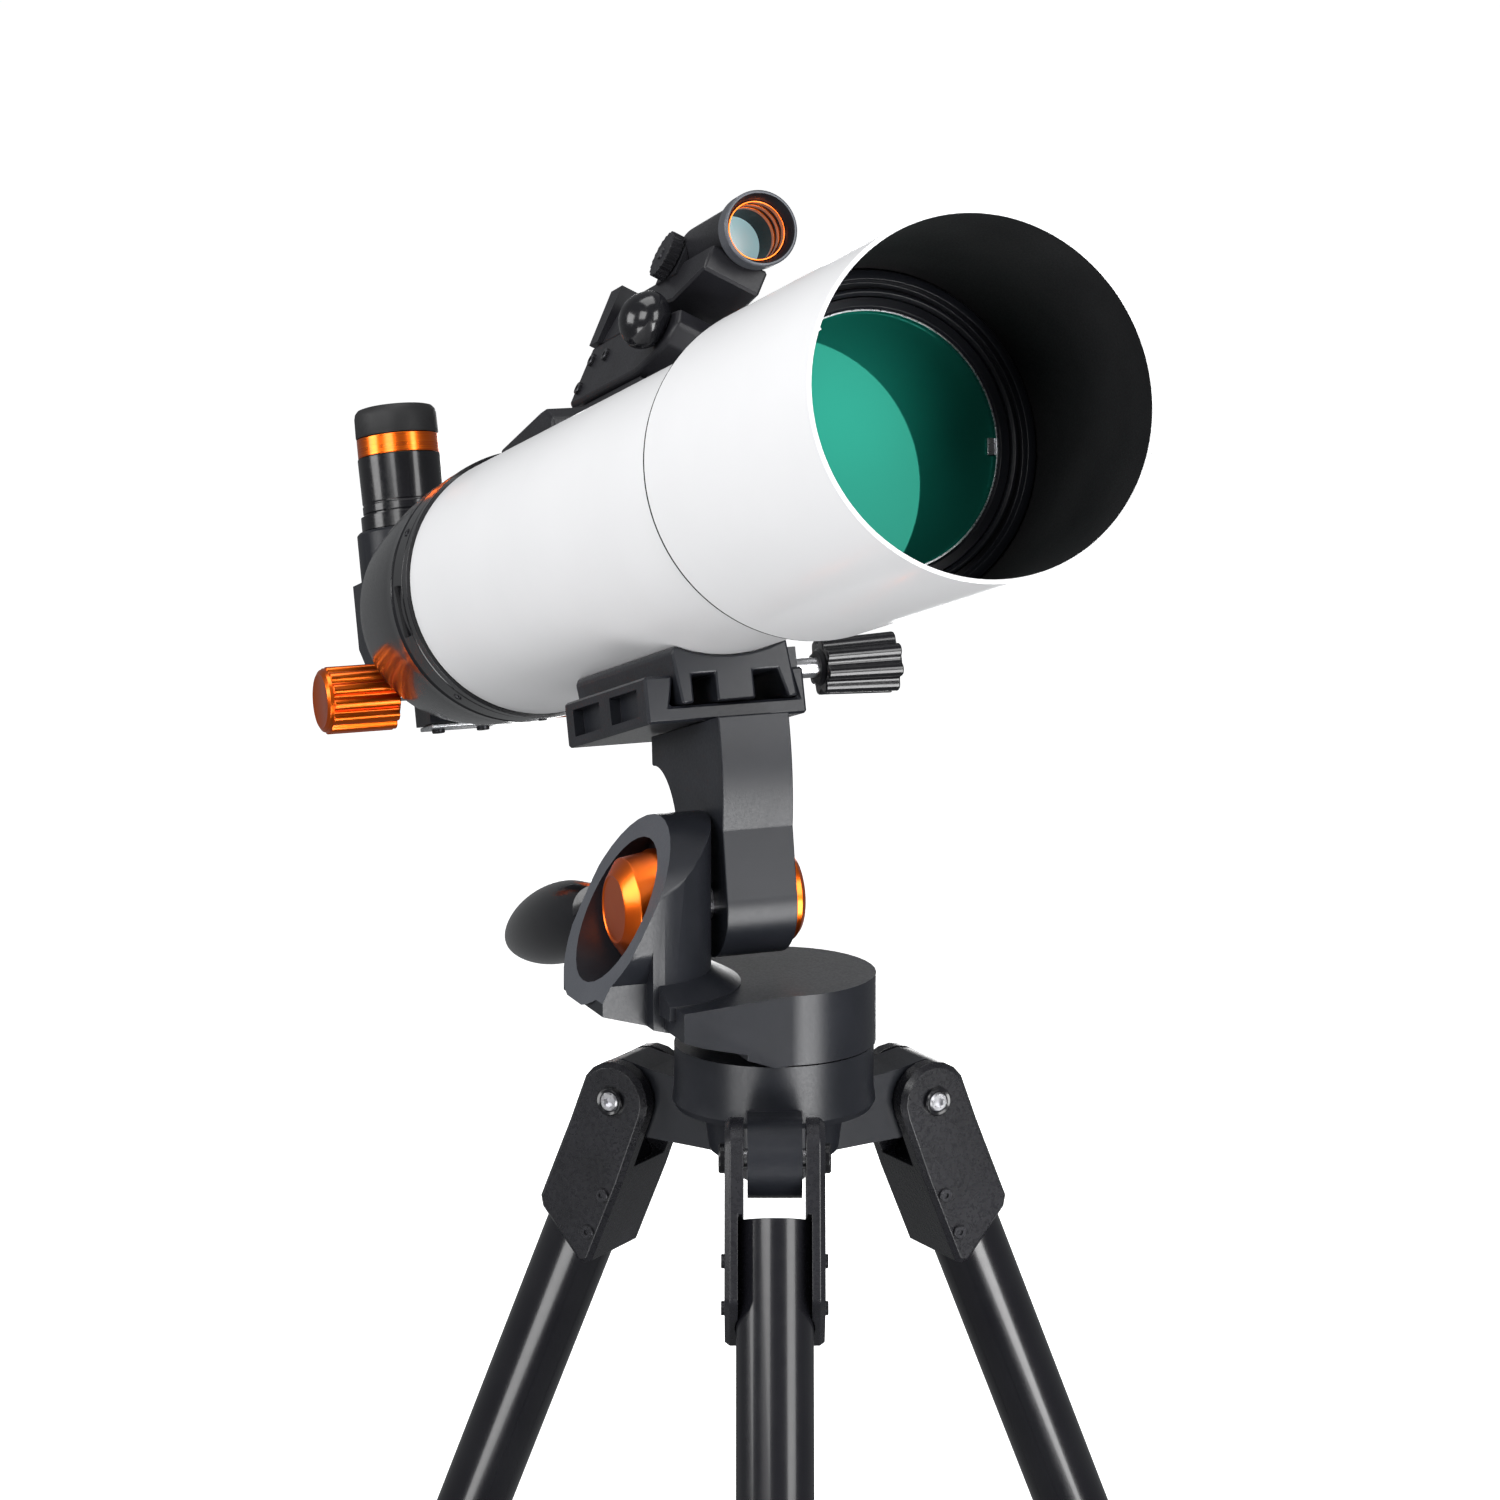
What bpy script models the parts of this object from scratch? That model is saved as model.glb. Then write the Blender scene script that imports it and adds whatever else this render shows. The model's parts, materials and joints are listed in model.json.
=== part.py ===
"""A short refractor telescope on an alt-azimuth head and a folding tripod.

Run with: blender --background --python part.py
Lengths below are in millimetres and are turned into metres by MM when a mesh is made.
+Z is up and the floor is z = 0.  Four nested frames place the parts:
  stand    the azimuth axis, its origin on the underside rim of the tripod head
  heading  turns on the azimuth axis: +X is where the telescope points, +Y is its right
  altitude turns on the altitude axis: +X runs along the telescope
  tube     the optical axis: +X towards the sky, x = 0 at the rear edge of the white tube
"""
import math

import bmesh
import bpy
from mathutils import Matrix, Vector

MM = 0.001

# Where the stand is in the part's frame, and how the telescope is pointed.
STAND_X = 0.0
STAND_Y = -20.0
HEADING_DEG = -68.7
ALTITUDE_DEG = 16.1

# Clearances: between pieces that rest on each other, and round a shaft that turns.
GAP = 0.3
RUNNING = 0.08

# Tripod.
LEG_COUNT = 3
LEG_SPREAD_DEG = 23.0
LEG_LENGTH = 620.0
HINGE_RADIUS = 50.0
HINGE_DROP = 5.0
LUG_HALF_WIDTH = 8.2
LUG_R = 12.0
FORK_HALF_SLOT = 9.3
FORK_HALF_WIDTH = 15.0
BOLT_R = 3.0
LEG_TUBE_R = 11.6
LEG_TUBE_BORE = 10.3
LEG_TUBE_TOP = 19.0
LEG_TUBE_END = 455.0
INNER_TUBE_R = 9.9
INNER_TUBE_TOP = 110.0
FOOT_R = 13.0
FOOT_HEIGHT = 34.0

# Tripod head and azimuth joint.
HEAD_R = 31.5
HEAD_TOP = 17.7
DISC_TOP = 40.0
AZIMUTH_PIN_R = 6.0

# Altitude column and arm, in the heading frame.
ALTITUDE_X = -4.0
ALTITUDE_Z = 63.0
COLUMN_Y = -48.0
COLUMN_R = 27.0
HUB_R = 28.0
RECESS_R = 21.3
RECESS_END_Y = -34.0
FACE_TILT_DEG = 27.0
FACE_Y = -50.0
AXLE_R = 6.0
ARM_Y0 = -20.4
ARM_Y1 = 2.6
ARM_HUB_R = 17.4
CAP_R = 14.4
HANDLE_ROOT = (-18.0, -9.0, 11.6)
HANDLE_TURN = (0, -93.2, 0)

# Optical tube, in the tube frame.
TUBE_BACK = 166.0
TUBE_RIGHT = -10.0
TUBE_ABOVE = 119.0
TUBE_R = 45.0
TUBE_WALL = 1.2
TUBE_FRONT = 296.0
SHIELD_R = 50.0
SHIELD_REAR = 257.0
SHIELD_FRONT = 387.0
CELL_FRONT = 313.0
LENS_R = 40.6
CELL_REAR = -92.0
FOCUSER_REAR = -115.0
DRAWTUBE_R = 18.4
DRAWTUBE_REAR = -123.0
PINION_X = -102.0
PINION_Z = -26.6
PINION_R = 4.0
BLOCK_LOW = -38.0
SHAFT_R = 2.0
KNOB_START = 24.0
KNOB_LENGTH = 28.0
EYEPIECE_X = -147.0
FINDER_SIDE_DEG = 29.0
FINDER_AXIS_Z = 116.0
FINDER_R = 12.8
SHOE_TOP = 64.0
SHOE_HALF_DEG = 14.0
FINDER_LENS_X = 70.0

# Saddle and the foot of the tube that slides in it, in the tube frame.
CRADLE_HALF_DEG = 24.0
FOOT_X0 = 88.0
FOOT_X1 = 181.0
SADDLE_X0 = 100.0
SADDLE_X1 = 178.0
SADDLE_FLOOR = -64.5
CLAMP_X = 150.0
CLAMP_Z = -48.4


def clear_scene():
    for old in list(bpy.data.objects):
        bpy.data.objects.remove(old, do_unlink=True)


def material(name, colour, roughness, metallic=0.0, alpha=1.0):
    made = bpy.data.materials.new(name)
    made.use_nodes = True
    shader = made.node_tree.nodes["Principled BSDF"]
    shader.inputs["Base Color"].default_value = (*colour, 1.0)
    shader.inputs["Roughness"].default_value = roughness
    shader.inputs["Metallic"].default_value = metallic
    shader.inputs["Alpha"].default_value = alpha
    return made


WHITE = ((0.86, 0.86, 0.87), 0.35, 0.0)
BLACK = ((0.022, 0.023, 0.027), 0.45, 0.0)
GLOSS_BLACK = ((0.012, 0.012, 0.014), 0.18, 0.0)
ORANGE = ((0.85, 0.24, 0.03), 0.28, 0.9)
STEEL = ((0.62, 0.62, 0.63), 0.25, 1.0)
ALLOY = ((0.72, 0.73, 0.74), 0.35, 1.0)
RUBBER = ((0.03, 0.03, 0.032), 0.8, 0.0)
GLASS = ((0.10, 0.45, 0.33), 0.02, 0.0, 0.35)
MIRROR = ((0.9, 0.9, 0.92), 0.02, 1.0)


def frame(name, parent=None, place=(0, 0, 0), turn=(0, 0, 0)):
    empty = bpy.data.objects.new(name, None)
    bpy.context.collection.objects.link(empty)
    empty.location = [value * MM for value in place]
    empty.rotation_euler = [math.radians(angle) for angle in turn]
    empty.parent = parent
    return empty


def add_object(name, mesh, look, parent, place, turn):
    made = bpy.data.objects.new(name, mesh)
    bpy.context.collection.objects.link(made)
    made.location = [value * MM for value in place]
    made.rotation_euler = [math.radians(angle) for angle in turn]
    made.parent = parent
    if look is None:
        made.hide_render = True
        made.display_type = "WIRE"
    else:
        made.data.materials.append(material(name, *look))
    return made


def finish_mesh(name, bm, smooth_deg=35.0):
    """Welds, turns the faces outwards and shades round stretches smooth."""
    bmesh.ops.remove_doubles(bm, verts=bm.verts, dist=1e-7)
    bmesh.ops.recalc_face_normals(bm, faces=bm.faces)
    mesh = bpy.data.meshes.new(name)
    bm.to_mesh(mesh)
    bm.free()
    mesh.shade_smooth()
    mesh.set_sharp_from_angle(angle=math.radians(smooth_deg))
    return mesh


# Each turns (u, v, height) into x, y, z; "side" draws its outline in x and z.
AXES = {
    "Z": Matrix.Identity(3),
    "side": Matrix(((1, 0, 0), (0, 0, 1), (0, 1, 0))),
    "X": Matrix(((0, 0, 1), (1, 0, 0), (0, 1, 0))),
    "Y": Matrix(((0, 1, 0), (0, 0, 1), (1, 0, 0))),
}


def turned(name, profile, look, parent, place=(0, 0, 0), turn=(0, 0, 0), axis="Z", sides=32, phase=0.0):
    """A turned piece: (radius, height) points, a closed loop unless its ends lie on the axis."""
    bm = bmesh.new()
    rings = []
    for radius, height in profile:
        if radius == 0:
            rings.append([bm.verts.new(AXES[axis] @ Vector((0, 0, height * MM)))])
            continue
        ring = []
        for step in range(sides):
            angle = 2 * math.pi * (step + phase) / sides
            point = Vector((radius * math.cos(angle), radius * math.sin(angle), height)) * MM
            ring.append(bm.verts.new(AXES[axis] @ point))
        rings.append(ring)
    pairs = list(zip(rings, rings[1:]))
    if profile[0][0] > 0:
        pairs.append((rings[-1], rings[0]))
    for first, second in pairs:
        for step in range(sides):
            after = (step + 1) % sides
            corners = [first[step % len(first)], first[after % len(first)]]
            corners += [second[after % len(second)], second[step % len(second)]]
            face = list(dict.fromkeys(corners))
            if len(face) > 2:
                bm.faces.new(face)
    return add_object(name, finish_mesh(name, bm), look, parent, place, turn)


def rod(radius, low, high):
    return [(0, low), (radius, low), (radius, high), (0, high)]


def ring(inner, outer, low, high):
    return [(inner, low), (outer, low), (outer, high), (inner, high)]


def extruded(name, outline, low, high, look, parent, place=(0, 0, 0), turn=(0, 0, 0), axis="Z",
             bevel=0.0):
    """A prism on a closed outline in the plane across the axis."""
    bm = bmesh.new()
    ends = []
    for height in (low, high):
        points = [AXES[axis] @ (Vector((u, v, height)) * MM) for u, v in outline]
        ends.append([bm.verts.new(point) for point in points])
    count = len(outline)
    bm.faces.new(ends[0])
    bm.faces.new(ends[1])
    for step in range(count):
        after = (step + 1) % count
        bm.faces.new((ends[0][step], ends[0][after], ends[1][after], ends[1][step]))
    made = add_object(name, finish_mesh(name, bm), look, parent, place, turn)
    if bevel:
        edge = made.modifiers.new("edges", "BEVEL")
        edge.width = bevel * MM
        edge.segments = 1
        edge.limit_method = "ANGLE"
        edge.angle_limit = math.radians(50)
    return made


def rectangle(u0, u1, v0, v1):
    return [(u0, v0), (u1, v0), (u1, v1), (u0, v1)]


def arc(centre, radius, start_deg, end_deg, steps):
    points = []
    for step in range(steps + 1):
        angle = math.radians(start_deg + (end_deg - start_deg) * step / steps)
        points.append((centre[0] + radius * math.cos(angle), centre[1] + radius * math.sin(angle)))
    return points


def combine(target, tool, operation, solver="EXACT"):
    change = target.modifiers.new(operation.lower(), "BOOLEAN")
    change.operation = operation
    change.solver = solver
    change.object = tool


def cut(target, tool, solver="EXACT"):
    combine(target, tool, "DIFFERENCE", solver)


def join(target, tool, solver="EXACT"):
    combine(target, tool, "UNION", solver)


def fluted(radius, depth, lobes, steps_per_lobe):
    """A round outline with scalloped grooves."""
    count = lobes * steps_per_lobe
    points = []
    for step in range(count):
        angle = 2 * math.pi * step / count
        wave = 0.5 + 0.5 * math.cos(lobes * angle)
        points.append(((radius - depth * wave) * math.cos(angle),
                       (radius - depth * wave) * math.sin(angle)))
    return points


# ---------------------------------------------------------------- tripod


def head_height():
    return LEG_LENGTH * math.cos(math.radians(LEG_SPREAD_DEG)) + HINGE_DROP


def build_tripod_head(stand):
    profile = [(0, -20), (15, -20), (20, -16), (22, -2), (HEAD_R - 1, -2), (HEAD_R, 0)]
    profile += [(HEAD_R - 0.6, 4), (HEAD_R - 0.6, HEAD_TOP), (0, HEAD_TOP)]
    head = turned("tripod_head", profile, BLACK, stand, sides=44)
    for leg in range(LEG_COUNT):
        heading = -90 + 120 * leg
        tip = arc((HINGE_RADIUS, -HINGE_DROP), LUG_R, -90, 90, 8)
        side = [(14, 3.0), (14, -18.0)] + tip + [(HINGE_RADIUS - 10, 5.0), (24, 3.0)]
        lug = extruded(f"cutter_lug_{leg}", side, -LUG_HALF_WIDTH, LUG_HALF_WIDTH,
                       None, stand, turn=(0, 0, heading), axis="side")
        join(head, lug)
        hole = turned(f"cutter_hinge_hole_{leg}", rod(BOLT_R + RUNNING, -40, 40), None, stand,
                      place=polar(HINGE_RADIUS, heading, -HINGE_DROP), turn=(0, 0, heading), axis="Y",
                      sides=18)
        cut(head, hole)
    pin = turned("cutter_azimuth_hole", rod(AZIMUTH_PIN_R + GAP, -30, 30), None, stand)
    cut(head, pin)
    return head


def polar(radius, heading_deg, height):
    angle = math.radians(heading_deg)
    return (radius * math.cos(angle), radius * math.sin(angle), height)


def build_azimuth_bolt(stand):
    profile = [(0, -25.5), (10, -25.5), (10, -20 - GAP), (AZIMUTH_PIN_R, -20 - GAP),
               (AZIMUTH_PIN_R, 36), (0, 36)]
    turned("azimuth_bolt", profile, STEEL, stand)


def leg_frame(stand, leg):
    heading = -90 + 120 * leg
    outward = frame(f"leg_{leg + 1}_heading", stand, turn=(0, 0, heading))
    return frame(f"leg_{leg + 1}_hinge", outward, (HINGE_RADIUS, 0, -HINGE_DROP), (0, -LEG_SPREAD_DEG, 0))


def build_hinge_bolt(hinge, number):
    """A long bolt through the fork and the lug, with a socket in its head."""
    half = FORK_HALF_WIDTH + GAP
    profile = [(0, -half - 1.6), (4.6, -half - 1.6), (4.6, -half), (BOLT_R, -half), (BOLT_R, half)]
    profile += [(4.6, half), (4.6, half + 1.6), (2.2, half + 1.6), (2.2, half - 1.5), (0, half - 1.5)]
    turned(f"hinge_bolt_{number}", profile, STEEL, hinge, axis="Y", sides=18)


def build_leg_bracket(hinge, number):
    """A fork over the head's lug, and below it a socket open on the outer side for the leg tube."""
    inward, outward, low_out, low_in = -13.2, 11.5, -46.0, -56.0
    side = arc((0, 0), 12.2, 10, 180, 9)
    side += [(inward, -24), (inward, low_in + 3), (inward + 3, low_in), (outward - 2, low_out),
             (outward, low_out + 3), (outward, -14)]
    bracket = extruded(f"leg_bracket_{number}", side, -FORK_HALF_WIDTH, FORK_HALF_WIDTH,
                       BLACK, hinge, axis="side", bevel=1.6)
    slot = extruded(f"cutter_fork_slot_{number}", rectangle(-30, 30, -FORK_HALF_SLOT, FORK_HALF_SLOT),
                    -LEG_TUBE_TOP + 0.4, 20, None, hinge)
    cut(bracket, slot)
    socket = turned(f"cutter_leg_socket_{number}", rod(LEG_TUBE_R + 0.3, -80, -LEG_TUBE_TOP + 1), None,
                    hinge, sides=24)
    cut(bracket, socket)
    opening = extruded(f"cutter_leg_window_{number}",
                       rectangle(2, 30, -LEG_TUBE_R + 0.6, LEG_TUBE_R - 0.6),
                       -80, -LEG_TUBE_TOP + 1, None, hinge)
    cut(bracket, opening)
    hole = turned(f"cutter_fork_hole_{number}", rod(BOLT_R + RUNNING, -40, 40), None, hinge, axis="Y",
                  sides=18)
    cut(bracket, hole)


def build_leg_tubes(hinge, number):
    top, end = -LEG_TUBE_TOP, -LEG_TUBE_END
    outer = [(0, top), (LEG_TUBE_R, top), (LEG_TUBE_R, end), (LEG_TUBE_BORE, end),
             (LEG_TUBE_BORE, top - 3), (0, top - 3)]
    turned(f"leg_tube_upper_{number}", outer, GLOSS_BLACK, hinge, sides=24)
    lower = ring(INNER_TUBE_R - 1.2, INNER_TUBE_R, -LEG_LENGTH + 20, -INNER_TUBE_TOP)
    turned(f"leg_tube_lower_{number}", lower, ALLOY, hinge, sides=24)


def build_leg_collar(hinge, number):
    """The twist lock on the end of the upper tube."""
    end = -LEG_TUBE_END
    bore = LEG_TUBE_R + 0.25
    profile = [(bore, end + 26), (14.6, end + 26), (16, end + 22), (16, end - 10)]
    profile += [(INNER_TUBE_R + 0.3, end - 10), (INNER_TUBE_R + 0.3, end - GAP), (bore, end - GAP)]
    turned(f"leg_collar_{number}", profile, BLACK, hinge, sides=24)


def build_foot(stand, hinge, leg):
    """A rubber boot: round across the leg at its top, flat on the floor at its bottom."""
    heading = -90 + 120 * leg
    spread = math.radians(LEG_SPREAD_DEG)
    radial, up = Vector(polar(1, heading, 0)), Vector((0, 0, 1))
    across = up.cross(radial)
    down = radial * math.sin(spread) - up * math.cos(spread)
    outward = radial * math.cos(spread) + up * math.sin(spread)
    pivot = radial * HINGE_RADIUS - up * HINGE_DROP
    sides = 20
    rows = [(pivot + down * (LEG_LENGTH - FOOT_HEIGHT), FOOT_R - 0.5, outward)]
    rows.append((pivot + down * (LEG_LENGTH - FOOT_HEIGHT * 0.45), FOOT_R, outward))
    rows.append((pivot + down * LEG_LENGTH + up * 5, FOOT_R + 2, radial))
    rows.append((pivot + down * LEG_LENGTH, FOOT_R + 1.2, radial))
    bm = bmesh.new()
    loops = []
    for centre, radius, first in rows:
        loop = []
        for step in range(sides):
            angle = 2 * math.pi * step / sides
            point = centre + (first * math.cos(angle) + across * math.sin(angle)) * radius
            loop.append(bm.verts.new(point * MM))
        loops.append(loop)
    for one, two in zip(loops, loops[1:]):
        for step in range(sides):
            after = (step + 1) % sides
            bm.faces.new((one[step], one[after], two[after], two[step]))
    bm.faces.new(loops[0])
    bm.faces.new(loops[-1])
    name = f"foot_{leg + 1}"
    foot = add_object(name, finish_mesh(name, bm), RUBBER, stand, (0, 0, 0), (0, 0, 0))
    bore = turned(f"cutter_foot_bore_{leg}", rod(INNER_TUBE_R + 0.3, -LEG_LENGTH + 20 - GAP, -500),
                  None, hinge, sides=20)
    cut(foot, bore)


# ---------------------------------------------------------------- alt-azimuth head


def build_azimuth_body(heading):
    """A disc on the azimuth axis, a wedge out to the left, and the column of the altitude hub."""
    low = HEAD_TOP + 0.6
    outline = arc((0, 0), HEAD_R, -12, 200, 24)
    outline += [(-31, -44), (39, -44)]
    body = extruded("azimuth_body", outline, low, DISC_TOP, BLACK, heading)
    # The underside of the wedge rises towards the left.
    under = [(-90, 30.0), (-44, 31.0), (-12, low - 0.01), (-12, 0), (-90, 0)]
    wedge = extruded("cutter_wedge", under, -60, 60, None, heading, axis="X")
    cut(body, wedge, "MANIFOLD")
    column = turned("cutter_column", rod(COLUMN_R, 24, 100), None, heading, (ALTITUDE_X, COLUMN_Y, 0),
                    sides=44)
    # The column's top follows a cylinder on the altitude axis, and so does all of its left half.
    top = arc((0, ALTITUDE_Z), HUB_R, 0, 180, 18)
    hub = extruded("cutter_hub", top + [(-HUB_R - 2, 0), (HUB_R + 2, 0)], -120, 40,
                   None, heading, (ALTITUDE_X, 0, 0), axis="side")
    combine(column, hub, "INTERSECT", "MANIFOLD")
    below = arc((0, ALTITUDE_Z), HUB_R, 180, 360, 18) + [(60, ALTITUDE_Z), (60, 0), (-60, 0),
                                                         (-60, ALTITUDE_Z)]
    round_under = extruded("cutter_round_under", below, -120, COLUMN_Y, None, heading,
                           (ALTITUDE_X, 0, 0), axis="side")
    cut(column, round_under, "MANIFOLD")
    gusset = extruded("cutter_gusset", rectangle(-15, 21, -62, COLUMN_Y + 8), 24, 50, None, heading,
                      (ALTITUDE_X, 0, 0))
    join(column, gusset, "MANIFOLD")
    join(body, column, "MANIFOLD")
    collar = turned("cutter_foot_flange", [(0, DISC_TOP - 4), (36, DISC_TOP - 4), (36, DISC_TOP + 0.4),
                                           (COLUMN_R, DISC_TOP + 5), (0, DISC_TOP + 5)],
                    None, heading, (ALTITUDE_X, COLUMN_Y, 0), sides=44)
    keep = extruded("cutter_flange_keep", rectangle(-60, 60, -46, 60), 0, 60, None, heading)
    combine(collar, keep, "INTERSECT", "MANIFOLD")
    join(body, collar, "MANIFOLD")
    face = extruded("cutter_face", rectangle(-120, 120, -120, 120), 0, 120, None, heading,
                    (ALTITUDE_X, FACE_Y, ALTITUDE_Z), (90 - FACE_TILT_DEG, 0, 0))
    cut(body, face, "MANIFOLD")
    slope = [(-120, 53.5), (-120, 0), (-22, 0), (-22, 24.0), (-63, 35.6)]
    belly = extruded("cutter_belly", slope, -60, 60, None, heading, axis="X")
    cut(body, belly, "MANIFOLD")
    recess = turned("cutter_recess", rod(RECESS_R, -120, RECESS_END_Y), None, heading,
                    (ALTITUDE_X, 0, ALTITUDE_Z), axis="Y", sides=32)
    cut(body, recess, "MANIFOLD")
    bore = turned("cutter_axle_hole", rod(AXLE_R + 0.1, -80, 20), None, heading,
                  (ALTITUDE_X, 0, ALTITUDE_Z), axis="Y", sides=20)
    cut(body, bore, "MANIFOLD")
    pin = turned("cutter_azimuth_pin", rod(AZIMUTH_PIN_R + RUNNING, 0, 36 + GAP), None, heading)
    cut(body, pin, "MANIFOLD")


def build_altitude_axle(heading):
    place = (ALTITUDE_X, 0, ALTITUDE_Z)
    turned("altitude_axle", rod(AXLE_R, -44, 4.5), STEEL, heading, place, axis="Y")
    left = [(0, -51), (9.5, -51), (15.2, -48.5), (17.5, -40), (17.5, -34.4), (AXLE_R + GAP, -34.4),
            (AXLE_R + GAP, -44.3), (0, -44.3)]
    turned("altitude_cap_left", left, ORANGE, heading, place, axis="Y", sides=28)
    right = [(0, 4.8), (AXLE_R + GAP, 4.8), (AXLE_R + GAP, ARM_Y1 + GAP), (CAP_R, ARM_Y1 + GAP),
             (CAP_R, 5.4), (CAP_R - 2, 7), (0, 7)]
    turned("altitude_cap_right", right, ORANGE, heading, place, axis="Y", sides=28)


def build_altitude_arm(altitude):
    """The arm from the altitude axis up to the saddle, hollowed behind."""
    ground = SADDLE_FLOOR + TUBE_ABOVE - GAP
    front = [(20, 17), (25.5, 35), (25.5, ground)]
    back = [(-36, ground), (-38, 45), (-32, 43), (-26.5, 39), (-22.5, 33), (-21, 26), (-20.5, 12)]
    side = arc((0, 0), ARM_HUB_R, -188, 6, 18) + front + back
    arm = extruded("altitude_arm", side, ARM_Y0, ARM_Y1, BLACK, altitude, axis="side", bevel=1.0)
    bore = turned("cutter_arm_bore", rod(AXLE_R + RUNNING, -60, 60), None, altitude, axis="Y", sides=20)
    cut(arm, bore)
    socket = turned("cutter_handle_hole", rod(4.0 + RUNNING, -10, 60), None, altitude, HANDLE_ROOT,
                    HANDLE_TURN, sides=20)
    cut(arm, socket)


def build_handle(altitude):
    """The pan handle: a steel rod screwed into the arm's hub and a long round grip."""
    handle = frame("handle_axis", altitude, HANDLE_ROOT, HANDLE_TURN)
    turned("handle_rod", rod(4, -9.5, 190), STEEL, handle, sides=20)
    steps = 9
    start, length = 122.0, 95.0
    grip = [(0, 190.5), (4.3, 190.5), (4.3, start)]
    for step in range(steps + 1):
        share = step / steps
        radius = 13.9 * math.sin(math.pi * (0.10 + 0.90 * share) ** 0.85) ** 0.6 if share < 1 else 0.0
        grip.append((radius, start + length * share))
    turned("handle_grip", grip, RUBBER, handle, sides=24)


def build_saddle(altitude):
    """The channel that the tube's foot slides in, open at its front and rear."""
    saddle_frame = tube_frame(altitude, "saddle_frame")
    low, wall = SADDLE_FLOOR, -50.0
    channel = [(-28, low), (24, low), (24, wall), (19.5, wall), (21.5, low + 5), (-20.5, low + 5),
               (-18.5, wall), (-28, wall)]
    saddle = extruded("saddle", channel, SADDLE_X0, SADDLE_X1, BLACK, saddle_frame, axis="X", bevel=0.8)
    for index, start in enumerate((SADDLE_X0 + 8, SADDLE_X0 + 44)):
        window = extruded(f"cutter_saddle_window_{index}", rectangle(start, start + 26, low + 3, -53),
                          -34, -24.5,
                          None, saddle_frame, axis="side")
        cut(saddle, window)
    lug = extruded("cutter_clamp_lug", rectangle(22.3, 28.5, low + 1, CLAMP_Z + 6), CLAMP_X - 12,
                   CLAMP_X + 12, None, saddle_frame, axis="X")
    join(saddle, lug)
    hole = turned("cutter_clamp_hole", rod(3.2 + RUNNING, 15, 40), None, saddle_frame,
                  (CLAMP_X, 0, CLAMP_Z), axis="Y", sides=20)
    cut(saddle, hole)


def build_clamp(altitude):
    """The knob and its bolt, which press on the side of the tube's foot."""
    clamp = tube_frame(altitude, "clamp_frame")
    place = (CLAMP_X, 0, CLAMP_Z)
    turned("clamp_bolt", rod(3.2, 20.8, 46), STEEL, clamp, place, axis="Y", sides=20)
    knob = extruded("clamp_knob", fluted(10.4, 1.8, 8, 4), 39.5, 67, BLACK, clamp, place, axis="Y",
                    bevel=0.8)
    hole = turned("cutter_knob_hole", rod(3.3, 30, 46.4), None, clamp, place, axis="Y", sides=20)
    cut(knob, hole)


# ---------------------------------------------------------------- optical tube


def tube_frame(altitude, name):
    return frame(name, altitude, (-TUBE_BACK, TUBE_RIGHT, TUBE_ABOVE))


def build_tube_foot(tube):
    """The bracket under the tube: a web with a cradle on top, two legs and a middle block."""
    curve = arc((0, 0), TUBE_R + GAP, -90 + CRADLE_HALF_DEG, -90 - CRADLE_HALF_DEG, 6)
    low = SADDLE_FLOOR + 5.3
    outline = curve + [(-19.5, -43.5), (-17.5, low), (-13.5, low), (-13.5, -50.5), (-6, -50.5), (-6, low)]
    outline += [(6.5, low), (6.5, -50.5), (14.5, -50.5), (17, low), (20.3, low), (18.6, -43.5)]
    extruded("tube_foot", outline, FOOT_X0, FOOT_X1, BLACK, tube, axis="X")


def build_tube(tube):
    inner = TUBE_R - TUBE_WALL
    turned("main_tube", ring(inner, TUBE_R, 0, TUBE_FRONT), WHITE, tube, axis="X", sides=52)
    shield_in = SHIELD_R - TUBE_WALL
    shield = [(TUBE_R + GAP, SHIELD_REAR), (SHIELD_R - 0.6, SHIELD_REAR), (SHIELD_R, SHIELD_REAR + 0.6),
              (SHIELD_R, SHIELD_FRONT)]
    shield += [(shield_in, SHIELD_FRONT), (shield_in, SHIELD_REAR + 4), (TUBE_R + GAP, SHIELD_REAR + 4)]
    turned("dew_shield", shield, WHITE, tube, axis="X", sides=52)


def build_objective(tube):
    outer = SHIELD_R - TUBE_WALL - GAP
    seat = LENS_R + GAP
    cell = [(seat, CELL_FRONT - 8), (seat, CELL_FRONT - 1), (seat + 1, CELL_FRONT),
            (outer - 1, CELL_FRONT), (outer, CELL_FRONT - 1)]
    cell += [(outer, TUBE_FRONT - 14), (TUBE_R + GAP, TUBE_FRONT - 14), (TUBE_R + GAP, TUBE_FRONT + GAP)]
    cell += [(LENS_R - 2.6, TUBE_FRONT + GAP), (LENS_R - 2.6, CELL_FRONT - 12.6),
             (seat, CELL_FRONT - 12.6)]
    turned("objective_cell", cell, BLACK, tube, axis="X", sides=36)
    back, middle, front = CELL_FRONT - 12.0, CELL_FRONT - 8.0, CELL_FRONT - 4.6
    turned("lens_flint", dish(LENS_R, back, middle - 0.2, 0.0, -1.6), GLASS, tube, axis="X", sides=32)
    turned("lens_crown", dish(LENS_R, middle + 0.2, front, -1.6, 2.4), GLASS, tube, axis="X", sides=32)
    turned("lens_retaining_ring", ring(37.4, LENS_R, CELL_FRONT - 4.2, CELL_FRONT - 2.2), ALLOY, tube,
           axis="X", sides=32)


def dish(radius, low, high, bulge_low, bulge_high):
    """A round lens between two spherical caps; bulge is how far each centre stands off its rim."""
    steps = 2
    shares = [step / steps for step in range(steps + 1)]
    points = [(radius * share, low + bulge_low * (1 - share ** 2)) for share in shares]
    points += [(radius * share, high + bulge_high * (1 - share ** 2)) for share in reversed(shares)]
    return points


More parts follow.
